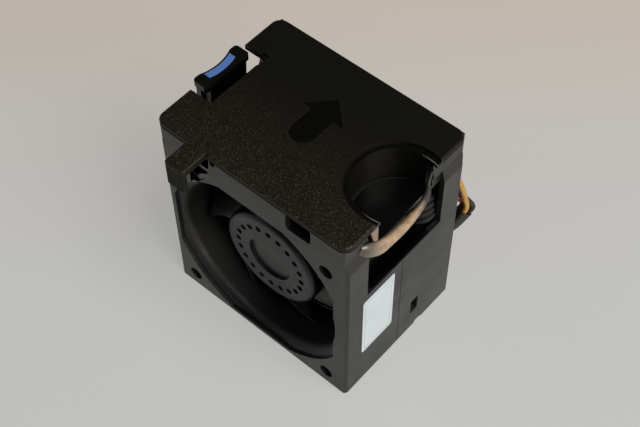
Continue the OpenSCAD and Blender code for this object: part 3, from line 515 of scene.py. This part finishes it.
def moulded(name, base, tip, roughness, grain, ripple, tip_share=0.6, dust=0.06, gloss=0.5, foot=None, inside=None):
    """Moulded plastic: base colour with painted highlights on lit grain tips, slow sheen patches, settled dust and
    a fine bump.
    With foot, the finger pocket above that height and the inner faces take the near-black inside colour as painted
    shade; the duct and the lid's room are duller, and the pocket and the relief behind the hook tab are smoother."""
    mat, n, shader = start(name)
    grains = n.group(grain_group(), Size=grain, Tip_share=tip_share)
    dusty = n.group(dust_group(), Amount=dust)["Dust"]
    body = n.mix(dusty, n.mix(grains["Tips"], base, tip), DUST_TONE)
    rough = n.scaled(grains["Patches"], roughness - 0.08, roughness + 0.08, 0.3, 0.7)
    if foot is not None:
        place = n.parts(n.where())
        pocket = pocket_mask(n, place, foot)[0]
        inner, relief = inner_faces(n, place)
        # Painted shade on the pocket and the inner faces; the same mask also makes them duller
        dull = n.either(pocket, inner)
        body = n.mix(dull, body, inside)
        rough = n.plus(rough, n.product(dull, INNER_DULLER))
        rough = n.minus(rough, n.product(n.either(pocket, relief), POCKET_SMOOTHER))
    n.link(body, shader.inputs["Base Color"])
    n.link(rough, shader.inputs["Roughness"])
    shader.inputs["Specular IOR Level"].default_value = gloss
    n.bump(shader, grains["Height"], ripple, GRAIN_DEPTH)
    return mat


def metal(name, base, roughness, streak, tint=0.85, direction=(1.0, 60.0, 1.0)):
    """Turned or drawn metal: fine streaks across one axis change the colour and the roughness."""
    mat, n, shader = start(name)
    mapping = n.add("ShaderNodeMapping")
    n.link(n.where(), mapping.inputs["Vector"])
    mapping.inputs["Scale"].default_value = direction
    lines = n.noise(mapping.outputs["Vector"], streak, 3.0, 0.6)
    n.link(n.mix(lines, shaded(base, tint), base), shader.inputs["Base Color"])
    n.link(n.scaled(lines, max(roughness - 0.1, 0.05), roughness + 0.1), shader.inputs["Roughness"])
    shader.inputs["Metallic"].default_value = 1.0
    return mat


# ---- Operators -------------------------------------------------------------------------------


class FinishOperator(bpy.types.Operator):
    bl_options = {"REGISTER"}

    def settings(self, key):
        """The property group with the sizes and colours of these pieces."""
        return getattr(bpy.context.scene, key)


class FAN_OT_carrier(FinishOperator):
    """Satin moulded finish on the two housings and the latch"""

    bl_idname = "fan.carrier"
    bl_label = "Carrier"

    def execute(self, context):
        p = self.settings("fan_carrier")
        # The foot and the inside colour paint shade into the pocket and the carrier's inner faces
        plastic = moulded(
            "carrier_plastic", p.plastic, p.lit_grain, p.roughness, p.grain, 0.25,
            tip_share=0.66, gloss=0.45, foot=at("Z", 8), inside=p.inside,
        )
        for node in ("front_housing", "rear_housing", "guide_vanes"):
            dress(node, plastic)
        latch = moulded("latch_plastic", p.latch, p.latch, p.roughness - 0.08, p.grain, 0.2, gloss=0.3)
        dress("release_latch", latch)
        return {"FINISHED"}


class FAN_OT_lid(FinishOperator):
    """Spark-grained finish on the lid"""

    bl_idname = "fan.lid"
    bl_label = "Lid"

    def execute(self, context):
        p = self.settings("fan_lid")
        mat, n, shader = start("lid_plastic")
        where = n.where()
        x, y, z = place = n.parts(where)
        low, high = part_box("top_cover")
        wall, far = pocket_mask(n, place, low.z)
        top = n.above(z, high.z - LID_FACE * MM)
        under = n.below(z, high.z - LID_UNDER * MM)

        # Grained top with painted light: towards the front edge the plastic turns into a lighter lit copy of
        # itself, with more painted glints on the grain's tips and more painted spark highlights
        grains = n.group(grain_group(), Size=p.grain, Tip_share=0.6)
        front = n.ramp(y, low.y + LIT_FROM * MM, low.y + LIT_TO * MM)
        tips = n.product(grains["Tips"], n.plus(n.product(front, 0.9), 0.1))
        speck = n.noise(where, p.grain * 0.75, 1.0, 0.3)
        painted_glints = n.product(n.specks(speck, 0.64), front)
        body = n.mix(tips, n.mix(front, p.plastic, shaded(p.plastic, 2.2, 2.0, 1.8)), p.glint)
        body = n.mix(painted_glints, body, p.spark)
        # Painted shade: below the top face, on the sides, the chamfers and the sunk arrow, the plastic is halved
        # and loses its glints
        body = n.mix(top, shaded(p.plastic, 0.5), body)

        # Painted light: a warm painted highlight on the pocket's front post, painted shade on the pocket's wall and
        # on the parts behind the hook tab, and a painted highlight on the ledge's inner edge
        post = n.product(under, n.above(x, at("X", POST_X)))
        # Painted shade behind the hook tab
        shade_behind_tab = n.between(x, at("X", HIDDEN_LEFT), at("X", HIDDEN_RIGHT))
        shade_behind_tab = n.product(shade_behind_tab, n.above(y, at("Y", HIDDEN_Y)), under)
        # Painted highlight: a thin light line along the ledge's inner edge
        on_edge = n.below(n.math("ABSOLUTE", n.minus(far, POCKET_R * MM)), RIM_HALF * MM)
        edge_highlight = n.product(on_edge, n.above(z, high.z - LID_LEDGE * MM))
        painted = ((post, p.post), (n.product(wall, under), p.inside), (shade_behind_tab, p.inside), (edge_highlight, p.edge_highlight))
        for mask, tone in painted:
            body = n.mix(mask, body, tone)
        n.link(body, shader.inputs["Base Color"])

        # Sides are duller than the top; the ledge, the sunk arrow and the parts behind the hook tab are smooth
        ledge = n.below(far, (POCKET_R + LEDGE_W) * MM)
        sunk = n.either(ledge, n.above(z, high.z - LID_SUNK * MM), shade_behind_tab)
        rough = n.plus(n.product(grains["Patches"], 0.12), p.roughness + SIDE_DULLER)
        rough = n.minus(rough, n.product(sunk, n.minus(1.0, top), SUNK_SMOOTHER))
        n.link(n.minus(rough, n.product(top, SIDE_DULLER)), shader.inputs["Roughness"])
        shader.inputs["Specular IOR Level"].default_value = 0.3
        shader.inputs["Specular Tint"].default_value = (1.0, 0.95, 0.78, 1.0)
        n.bump(shader, grains["Height"], n.plus(n.product(top, 0.4), 0.1), GRAIN_DEPTH)
        dress("top_cover", mat)
        return {"FINISHED"}


# Grip bar: x, y and height of its middle line, half height across it and half thickness
GRIP_PATH = np.array([
    [31.0, 5.5, 33.9, 1.4, 0.5], [31.7, 7.3, 32.9, 2.0, 0.9], [32.0, 10.3, 30.4, 2.4, 1.1],
    [32.0, 13.4, 28.5, 2.6, 1.28], [32.0, 16.9, 27.8, 2.2, 1.28], [32.0, 19.7, 27.5, 2.1, 1.25],
    [32.0, 22.4, 27.5, 2.0, 1.2], [32.0, 25.0, 27.8, 1.9, 1.1], [32.0, 27.4, 28.3, 1.6, 0.95],
    [31.9, 29.8, 29.6, 1.5, 0.9], [31.9, 30.9, 31.2, 1.3, 0.9], [31.8, 31.4, 33.2, 0.7, 0.7],
    [31.5, 31.8, 35.0, 0.5, 0.45], [31.0, 33.3, 36.4, 0.5, 0.4], [30.7, 35.1, 37.0, 0.5, 0.4]])
# Depths over which the bar's colour turns into the painted highlight, from its front root and from its rear end
FRONT_FADE, BACK_FADE = (5.5, 15.5), (30.8, 24.8)


def grip_surface(sides=40, steps=8):
    """Grip bar: an oval ring of half width t along X and half height h across the middle line, carried
    along it. Line and sizes are smoothed by the same Catmull-Rom curve."""
    path = smooth_route(GRIP_PATH[:, :3], steps)
    size = smooth_route(GRIP_PATH[:, [4, 3, 3]], steps)
    x = np.array([1.0, 0.0, 0.0])
    v = np.cross(directions(path), x)
    v /= np.linalg.norm(v, axis=1, keepdims=True)
    a = ring_angles(sides)
    ring = path[:, None, :] + x * size[:, None, :1] * np.cos(a) + v[:, None, :] * size[:, None, 1:2] * np.sin(a)
    return capped(in_row(ring)[:, ::-1])


class FAN_OT_grip(FinishOperator):
    """Glossy round grip bar over the side window"""

    bl_idname = "fan.grip"
    bl_label = "Grip bar"

    def execute(self, context):
        p = self.settings("fan_grip")
        mat, n, shader = start("grip_plastic")
        where = n.where()
        y = n.parts(where)[1]
        front = n.ramp(y, *(at("Y", mm) for mm in FRONT_FADE))
        back = n.ramp(y, *(at("Y", mm) for mm in BACK_FADE))
        # Painted highlight: the warm, mottled middle fades into the root at the front and into the plain plastic at
        # the rear end
        mottled = n.noise(where, 0.0028, 4.0, 0.65)
        tone = n.mix(n.ramp(mottled, 0.36, 0.64), shaded(p.plastic, 0.62, 0.56, 0.52), p.plastic)
        n.link(n.mix(back, p.end, n.mix(front, p.root, tone)), shader.inputs["Base Color"])
        rough = n.plus(n.product(mottled, 0.12), p.roughness - 0.06)
        n.link(n.plus(rough, n.minus(END_DULLER, n.product(back, END_DULLER))), shader.inputs["Roughness"])
        shader.inputs["Coat Weight"].default_value = 0.2
        shader.inputs["Coat Roughness"].default_value = 0.12
        n.bump(shader, n.noise(where, 0.0009, 3.0, 0.6), 0.12)
        piece = make_piece("grip_bar_skin", *grip_surface(), "carrier", mat)
        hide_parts("finger_bar")
        dress("finger_bar", mat)
        return {"FINISHED"}


class FAN_OT_accents(FinishOperator):
    """Touch stripe on the latch and the plain label"""

    bl_idname = "fan.accents"
    bl_label = "Stripe and label"

    def execute(self, context):
        p = self.settings("fan_accent")
        dress("latch_stripe", moulded("stripe_plastic", p.blue, shaded(p.blue, 1.2), 0.42, 0.0003, 0.12))
        mat, n, shader = start("label_stock")
        where = n.where()
        fibre = n.noise(where, 0.0004, 4.0, 0.7)
        cloud = n.noise(where, 0.006, 3.0, 0.5)
        paper = n.mix(n.ramp(cloud, 0.3, 0.7), shaded(p.label, 0.93), p.label)
        low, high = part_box("label_sticker")
        y, z = n.parts(where)[1:]

        def within(edge):
            """Mask of the label inside a distance from its edge."""
            across = n.between(y, low.y + edge, high.y - edge)
            return n.product(across, n.between(z, low.z + edge, high.z - edge))

        rule = n.math("SUBTRACT", within(p.margin), within(p.margin + p.line), clamp=True)
        n.link(n.mix(rule, paper, p.rule), shader.inputs["Base Color"])
        n.link(n.plus(n.product(fibre, 0.15), 0.32), shader.inputs["Roughness"])
        n.bump(shader, fibre, 0.08, 0.00005)
        dress("label_sticker", mat)
        return {"FINISHED"}


# Impeller in millimetres: radius of the hub and of the blades' tips, depth of the hub's face, its length,
# the number of blades, their thickness and how deep their roots are sunk in the hub
HUB_R, TIP_R, HUB_Y, HUB_LEN = 15.9, 27.6, 5.7, 22.0
BLADES, BLADE_T, ROOT_SINK = 7, 1.2, 0.9
# Blade at its root, and the change up to its tip: the angle of the leading edge, the angle swept behind it,
# the depth of the leading edge behind the hub's face, and how much shorter than the hub the blade is
LEAD_ANGLE, SWEPT, SET_BACK, SHORTER = (169, 29), (52, -8), (2.2, 1.5), (5.6, 1.4)


def blade_middle(s, t):
    """Blade's middle surface. s runs from hub to tip and t from leading to trailing edge: the radius is
    linear in s, the angle is the leading edge's less the swept one times t, and the depth grows from the
    leading edge's by the blade's length times t^1.3. Angles, depth and length are linear in s."""
    r = (HUB_R - ROOT_SINK) + (TIP_R - HUB_R + ROOT_SINK) * s
    a = np.radians(LEAD_ANGLE[0] + LEAD_ANGLE[1] * s - (SWEPT[0] + SWEPT[1] * s) * t)
    y = HUB_Y + SET_BACK[0] + SET_BACK[1] * s + (HUB_LEN - SHORTER[0] - SHORTER[1] * s) * t**1.3
    return np.stack([r * np.cos(a), y, r * np.sin(a)], axis=-1), r


def blade_skin(extra, n_s=15, n_t=30):
    """Both sides of one blade: the middle surface moved along its unit normal by half of the thickness
    (0.35 + 0.65 sin(180 t^0.7)), then put back on its radius; extra is added all over."""
    s = np.linspace(0, 1, n_s)[:, None] * np.ones((1, n_t))
    t = (0.5 - 0.5 * np.cos(np.linspace(0, np.pi, n_t)))[None, :] * np.ones((n_s, 1))
    e = 0.01
    mid, r = blade_middle(s, t)
    ds = blade_middle(np.minimum(s + e, 1), t)[0] - blade_middle(np.maximum(s - e, 0), t)[0]
    dt = blade_middle(s, np.minimum(t + e, 1))[0] - blade_middle(s, np.maximum(t - e, 0))[0]
    normal = np.cross(ds, dt)
    normal /= np.linalg.norm(normal, axis=-1, keepdims=True)
    half = BLADE_T / 2 * (0.35 + 0.65 * np.sin(np.pi * t**0.7)) + extra
    sides = []
    for sign in (-1, 1):
        q = mid + sign * half[..., None] * normal
        k = (r / np.hypot(q[..., 0], q[..., 2]))[..., None]
        sides.append(q * np.concatenate([k, np.ones_like(k), k], axis=-1))
    return np.concatenate([sides[0], sides[1][:, ::-1]], axis=1)


def blade_skins(ring):
    """All blades: one blade's ring grid, closed at the hub and the tip by quads between its two sides, and
    turned about the fan axis by equal steps."""
    rows, cols = ring.shape[:2]
    end = np.array([[k, cols - 1 - k, cols - 2 - k, k + 1] for k in range(cols // 2 - 1)])
    quads = np.vstack([sheet_faces(rows, cols, True)[:, ::-1], end[:, ::-1], end + (rows - 1) * cols])
    points, faces = [], []
    for i in range(BLADES):
        c, s = math.cos(-2 * np.pi * i / BLADES), math.sin(-2 * np.pi * i / BLADES)
        x, y, z = np.moveaxis(ring, -1, 0)
        points.append(in_row(np.stack([x * c + z * s, y, -x * s + z * c], axis=-1)).reshape(-1, 3))
        faces.append(quads + i * rows * cols)
    return np.vstack(points), np.vstack(faces)


class FAN_OT_impeller(FinishOperator):
    """Satin impeller with smooth skins over its swept blades"""

    bl_idname = "fan.impeller"
    bl_label = "Impeller"

    def execute(self, context):
        p = self.settings("fan_rotor")
        mat = moulded(
            "impeller_plastic", p.plastic, p.tip, p.roughness, 0.0004, 0.15, tip_share=0.68, dust=0.0, gloss=0.38
        )
        dress("impeller", mat)
        piece = make_piece("blade_skins", *blade_skins(blade_skin(p.skin / MM)), "rotor", mat)
        return {"FINISHED"}


# Nodes of each metal, then its name, colour, roughness and size of streaks. Two also say how dark the
# streaks are, and one how they run.
METALS = (
    (("shaft", "bearing_inner_rings", "bearing_outer_rings", "bearing_balls"),
     ("ground_steel", (0.62, 0.62, 0.63), 0.28, 0.002)),
    (("preload_spring", "retaining_clip"), ("spring_steel", (0.42, 0.42, 0.43), 0.34, 0.0006)),
    (("rotor_cup",), ("drawn_steel", (0.5, 0.5, 0.5), 0.4, 0.004)),
    (("bearing_tube",), ("turned_brass", (0.62, 0.45, 0.2), 0.3, 0.0015)),
    (("stator_core",), ("laminated_steel", (0.3, 0.3, 0.31), 0.45, 0.02, 0.5)),
    (("stator_windings",), ("copper_wire", (0.55, 0.2, 0.09), 0.32, 0.03, 0.4, (60.0, 60.0, 60.0))),
    (("connector_contacts",), ("gold_flash", (0.72, 0.5, 0.2), 0.25, 0.001)),
)
# Node of each moulding, then its name, colour, colour of lit tips, roughness, and size and strength of grain
MOULDINGS = {
    "ring_magnet": ("magnet", (0.04, 0.04, 0.042), (0.07, 0.07, 0.07), 0.5, 0.0004, 0.3),
    "stator_insulators": ("nylon", (0.55, 0.5, 0.38), (0.62, 0.57, 0.45), 0.45, 0.0004, 0.15),
    "circuit_board": ("solder_mask", (0.01, 0.07, 0.035), (0.02, 0.1, 0.05), 0.3, 0.0008, 0.1),
    "board_components": ("epoxy", (0.012, 0.012, 0.012), (0.03, 0.03, 0.03), 0.5, 0.0003, 0.3),
    "connector_shell": ("shell_nylon", (0.6, 0.56, 0.44), (0.66, 0.62, 0.5), 0.42, 0.0004, 0.15),
}


class FAN_OT_motor(FinishOperator):
    """Metals, copper, magnet, nylon and circuit board of the motor and the connector"""

    bl_idname = "fan.motor"
    bl_label = "Motor"

    def execute(self, context):
        for nodes, values in METALS:
            finish = metal(*values)
            for node in nodes:
                dress(node, finish)
        for node, values in MOULDINGS.items():
            dress(node, moulded(*values))
        return {"FINISHED"}


# Lead, in millimetres. Along the lead vane the wires lie PITCH apart, and TROUGH holds the radius and depth
# of their way up it.
VANE = math.radians(30)
PITCH = 1.85
TROUGH = ((11.1, 27.3), (11.1, 32.7), (13.4, 34.2), (31, 34.3))
# The two columns and rows of contacts, the height of the plug's top, how far above it a wire of the first
# row is straight, and how much less that is in the second row
CONTACT_X, CONTACT_Y, PLUG_TOP, STRAIGHT, STRAIGHT_LESS = (23.7, 26.7), (28.5, 31.5), -20.8, 1.6, 0.6
# Wires in their order across the lead vane: the route to the sleeve, the two signs of the wire's place
# across the sleeve, and its contact
WIRES = {
    "red_wire": ([[29.5, 41.01, 13.42], [29.66, 47.19, 13.13], [29.31, 50.74, 10.4], [29.18, 53.03, 6.4],
                  [29.38, 54.16, 4.2]], (-1, 1), (0, 0)),
    "blue_wire": ([[29.3, 41.02, 15.3], [29.2, 47.41, 15.01], [28.01, 51.2, 11.4], [28.85, 53.7, 6.6],
                   [30.2, 55.3, 3.2]], (-1, -1), (0, 1)),
    "black_wire": ([[29.15, 40.61, 17.42], [29.27, 47.86, 17.04], [29.55, 51.3, 13.0], [30.72, 53.85, 7.1],
                    [32.3, 55.3, 3.5]], (1, -1), (1, 1)),
    "yellow_wire": ([[28.89, 40.4, 19.54], [29.86, 47.76, 19.58], [31.37, 50.22, 15.44], [31.26, 52.64, 8.36],
                     [31.47, 53.47, 4.66]], (1, 1), (1, 0)),
}
# Depths between which the wires are painted near black as painted shade
WIRE_SHADE_DEPTHS = (33.0, 45.2)
SLEEVE = [[30.8, 54.2, 1.6], [29.3, 51.7, -2.4], [26.9, 49.8, -7.6], [26.4, 49, -13.8], [28.0, 45.6, -17.2],
          [27.2, 36.2, -17]]
SLEEVE_SEED = (1.0, -0.6, 0.0)
# Sleeve's mean radius, how much it bulges over the wires, and the radius of its bore
SLEEVE_R, SLEEVE_BULGE, SLEEVE_BORE = 2.1, 0.16, 2.0
# Distance of the wires inside the sleeve; how far the loop is pulled in, over what length that grows, and
# how near to the fan the sleeve may come
WIRE_STEP, LOOP_IN, SETTLE, SLEEVE_CLEAR = 1.66, 1.6, 3.0, 48.8


def on_vane(r, y, side):
    """A point at radius r along the lead vane, side millimetres across it."""
    return [r * math.cos(VANE) - side * math.sin(VANE), y, r * math.sin(VANE) + side * math.cos(VANE)]


def settled(points, nearest=0.0):
    """Pulls what lies beyond the exhaust face in by LOOP_IN * (3 t^2 - 2 t^3), where t grows from 0 to 1
    over the first SETTLE millimetres, but no nearer to the face than the depth nearest."""
    q = np.array(points, float)
    t = np.clip((q[:, 1] - EXHAUST_Y) / SETTLE, 0, 1)
    pulled = q[:, 1] - LOOP_IN * t * t * (3 - 2 * t)
    q[:, 1] = np.maximum(pulled, np.minimum(q[:, 1], nearest))
    return q


def wire_route(order, route, place, contact, middle, u, v):
    """One wire's middle line: up the lead vane, along its route, beside the sleeve's middle line at its
    place across u and v, and down into its contact."""
    begin = [on_vane(r, y, PITCH * (order - (len(WIRES) - 1) / 2)) for r, y in TROUGH]
    held = middle + WIRE_STEP / 2 * (place[0] * u + place[1] * v)
    x, y = CONTACT_X[contact[0]], CONTACT_Y[contact[1]]
    end = [[x, y, PLUG_TOP + STRAIGHT - STRAIGHT_LESS * contact[1]], [x, y, PLUG_TOP]]
    return smooth_route(in_row(np.vstack([begin, settled(route), held, end])), 8)


def sleeve_surface(steps=8, sides=32):
    """Shrunk sleeve: an outer tube whose radius SLEEVE_R - SLEEVE_BULGE * cos 4a bulges over the four wires,
    and a round bore, joined into one ring of rows at the two mouths."""
    path = smooth_route(in_row(settled(SLEEVE, SLEEVE_CLEAR)), steps)
    a = ring_angles(sides).ravel()
    outer = tube_points(path, (SLEEVE_R - SLEEVE_BULGE * np.cos(4 * a)) * MM, sides, SLEEVE_SEED)
    bore = tube_points(path, SLEEVE_BORE * MM, sides, SLEEVE_SEED)
    rows = np.concatenate([outer, bore[::-1]])
    return rows.reshape(-1, 3), sheet_faces(len(rows), sides, True, ring=True)


def insulation(name, base, roughness, wire_shade=None):
    """PVC or sleeve: slow changes of tone, a satin roughness and a faint ripple. With a shade colour, the
    wire takes it between two given depths as painted shade, and is duller there."""
    mat, n, shader = start(name)
    where = n.where()
    tone = n.noise(where, 0.004, 3.0, 0.5)
    body = n.mix(tone, shaded(base, 0.75), base)
    rough = n.plus(n.product(tone, 0.2), roughness - 0.1)
    if wire_shade is not None:
        # Painted shade: between the two depths the wire takes the near-black colour and is duller
        wrap = n.between(n.parts(where)[1], *(at("Y", mm) for mm in WIRE_SHADE_DEPTHS))
        body = n.mix(wrap, body, wire_shade)
        rough = n.plus(rough, n.product(wrap, 0.4))
    n.link(body, shader.inputs["Base Color"])
    n.link(rough, shader.inputs["Roughness"])
    n.bump(shader, n.noise(where, 0.0012, 2.0, 0.5), 0.1)
    return mat


class FAN_OT_lead(FinishOperator):
    """Four smooth wires from the motor through their sleeve to the connector"""

    bl_idname = "fan.lead"
    bl_label = "Lead"

    def execute(self, context):
        p = self.settings("fan_lead")
        middle = settled(SLEEVE, SLEEVE_CLEAR)
        u, v = carried(middle, SLEEVE_SEED)
        for order, (node, (route, place, contact)) in enumerate(WIRES.items()):
            path = wire_route(order, route, place, contact, middle, u, v)
            mat = insulation(node + "_pvc", getattr(p, node.split("_")[0]), 0.36, p.wire_shade)
            points, faces = capped(tube_points(path, p.diameter / 2, p.sides))
            piece = make_piece(node + "_skin", points, faces, "carrier", mat)
            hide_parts(node)
            dress(node, mat)
        mat = insulation("sleeve_rubber", p.sleeve, 0.45)
        piece = make_piece("lead_sleeve_skin", *sleeve_surface(), "carrier", mat)
        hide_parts("lead_sleeve")
        dress("lead_sleeve", mat)
        return {"FINISHED"}


# Camera's target in the fan's frame in millimetres; the floor's half width and its height in metres
CAMERA_TARGET = (-12.33, 40.762, -26.594)
FLOOR_HALF, FLOOR_Z = 2.5, -0.00002
# Share of the floor's own even tone in what the camera, gloss and glass see
EVEN_SHARE = 0.6
# The floor turns warmer from one value of Y - FAR_SLOPE X to the other, in metres
FAR_SLOPE, FAR_FROM, FAR_TO = 0.85, -0.02, 0.26


def floor_paper(p):
    """Pale paper, warmer beyond the part. Camera, glossy and transmission rays see part of its own even
    tone, and the rest of it takes light and shadow."""
    mat, n, shader = start("floor_paper")
    x, y, _ = n.parts(n.where())
    far = n.ramp(n.minus(y, n.product(x, FAR_SLOPE)), FAR_FROM, FAR_TO)
    paper = n.mix(far, p.floor, p.floor_far)
    n.link(paper, shader.inputs["Base Color"])
    shader.inputs["Roughness"].default_value = 0.8
    shader.inputs["Specular IOR Level"].default_value = 0.2
    glow = n.add("ShaderNodeEmission")
    n.link(paper, glow.inputs["Color"])
    glow.inputs["Strength"].default_value = p.level
    ray = n.add("ShaderNodeLightPath").outputs
    seen = n.either(ray["Is Glossy Ray"], ray["Is Transmission Ray"], ray["Is Camera Ray"])
    blend = n.add("ShaderNodeMixShader")
    for value, socket in zip((n.product(seen, EVEN_SHARE), shader.outputs[0], glow.outputs[0]), blend.inputs):
        n.link(value, socket)
    out = next(node for node in mat.node_tree.nodes if node.bl_idname == "ShaderNodeOutputMaterial")
    n.link(blend.outputs[0], out.inputs["Surface"])
    return mat


def make_floor(p):
    """Flat square floor just under the part: a grid of 3 x 3 points."""
    mesh = bpy.data.meshes.new("floor")
    g = np.linspace(-FLOOR_HALF, FLOOR_HALF, 3)
    x, y = np.meshgrid(g, g, indexing="ij")
    points = np.stack([x, y, np.full_like(x, FLOOR_Z)], -1).reshape(-1, 3)
    mesh.from_pydata(points.tolist(), [], sheet_faces(3, 3, False)[:, ::-1].tolist())
    mesh.materials.append(floor_paper(p))
    floor = add_object("floor", mesh)


def make_room(p):
    """Dim, slightly cool room all round."""
    world = bpy.data.worlds.new("room")
    world.use_nodes = True
    room = world.node_tree.nodes["Background"].inputs
    room["Color"].default_value = (0.9, 0.93, 1.0, 1.0)
    room["Strength"].default_value = p.ambient
    bpy.context.scene.world = world


def make_lamp(name, power, size, place, aim, tint, height=None):
    """Soft square lamp, or a rectangle if it has a height, that looks from its place to its aim."""
    data = bpy.data.lights.new(name, "AREA")
    data.energy, data.size, data.color = power, size, tint
    if height is not None:
        data.shape, data.size_y = "RECTANGLE", height
    lamp = add_object(name, data)
    lamp.location = place
    lamp.rotation_mode = "QUATERNION"
    lamp.rotation_quaternion = Vector(np.subtract(place, aim)).to_track_quat("Z", "Y")


def make_camera(p):
    """Camera at its distance from the target along azimuth and elevation, then rolled about its axis."""
    az, el, roll = (math.radians(v) for v in (p.azimuth, p.elevation, p.roll))
    back = Vector((math.sin(az) * math.cos(el), -math.cos(az) * math.cos(el), math.sin(el)))
    right = (-back).cross(Vector((0, 0, 1))).normalized()
    up = right.cross(-back)
    rolled_right = right * math.cos(roll) + up * math.sin(roll)
    rolled_up = up * math.cos(roll) - right * math.sin(roll)
    place = Vector(in_row(CAMERA_TARGET)) + back * p.distance
    data = bpy.data.cameras.new("camera")
    data.sensor_width, data.lens = 36.0, p.lens
    data.clip_start, data.clip_end = 0.01, 20.0
    camera = add_object("camera", data)
    turn = Matrix((rolled_right, rolled_up, back)).transposed().to_4x4()
    camera.matrix_world = Matrix.Translation(place) @ turn
    bpy.context.scene.camera = camera


class FAN_OT_stage(FinishOperator):
    """Pale floor, soft lamps, dim room and the camera"""

    bl_idname = "fan.stage"
    bl_label = "Stage"

    def execute(self, context):
        p = self.settings("fan_stage")
        make_floor(p)
        make_room(p)
        make_lamp("top", p.top, 0.6, (0.5, -0.05, 0.9), (0, 0, 0.03), (1.0, 0.985, 0.96))
        make_lamp("fill", p.fill, 0.7, (-0.7, -0.5, 0.45), (0, 0, 0.03), (0.93, 0.96, 1.0))
        make_lamp("side", p.side, 0.8, (1.18, -0.12, 0.17), (0.03, 0, 0.055), (1.0, 0.92, 0.83), height=0.26)
        make_camera(p)
        bpy.context.scene.view_settings.view_transform = "Standard"
        return {"FINISHED"}


OPERATORS = (
    FAN_OT_carrier, FAN_OT_lid, FAN_OT_grip, FAN_OT_accents,
    FAN_OT_impeller, FAN_OT_motor, FAN_OT_lead, FAN_OT_stage,
)


class FAN_PT_panel(bpy.types.Panel):
    bl_idname = "FAN_PT_panel"
    bl_label = "Server Fan Module"
    bl_space_type = "VIEW_3D"
    bl_region_type = "UI"
    bl_category = "Fan Module"

    def draw(self, context):
        for op in OPERATORS:
            self.layout.operator(op.bl_idname)
        for key in GROUPS:
            box = self.layout.box()
            group = getattr(context.scene, key)
            for name in group.__annotations__:
                box.prop(group, name)


def register():
    for cls in (*GROUPS.values(), *OPERATORS, FAN_PT_panel):
        bpy.utils.register_class(cls)
    for key, cls in GROUPS.items():
        setattr(bpy.types.Scene, key, PointerProperty(type=cls))


def unregister():
    for key in GROUPS:
        delattr(bpy.types.Scene, key)
    for cls in reversed((*GROUPS.values(), *OPERATORS, FAN_PT_panel)):
        bpy.utils.unregister_class(cls)


def main():
    """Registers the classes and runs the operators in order."""
    register()
    for op in OPERATORS:
        kind, name = op.bl_idname.split(".")
        getattr(getattr(bpy.ops, kind), name)()


if __name__ == "__main__":
    main()
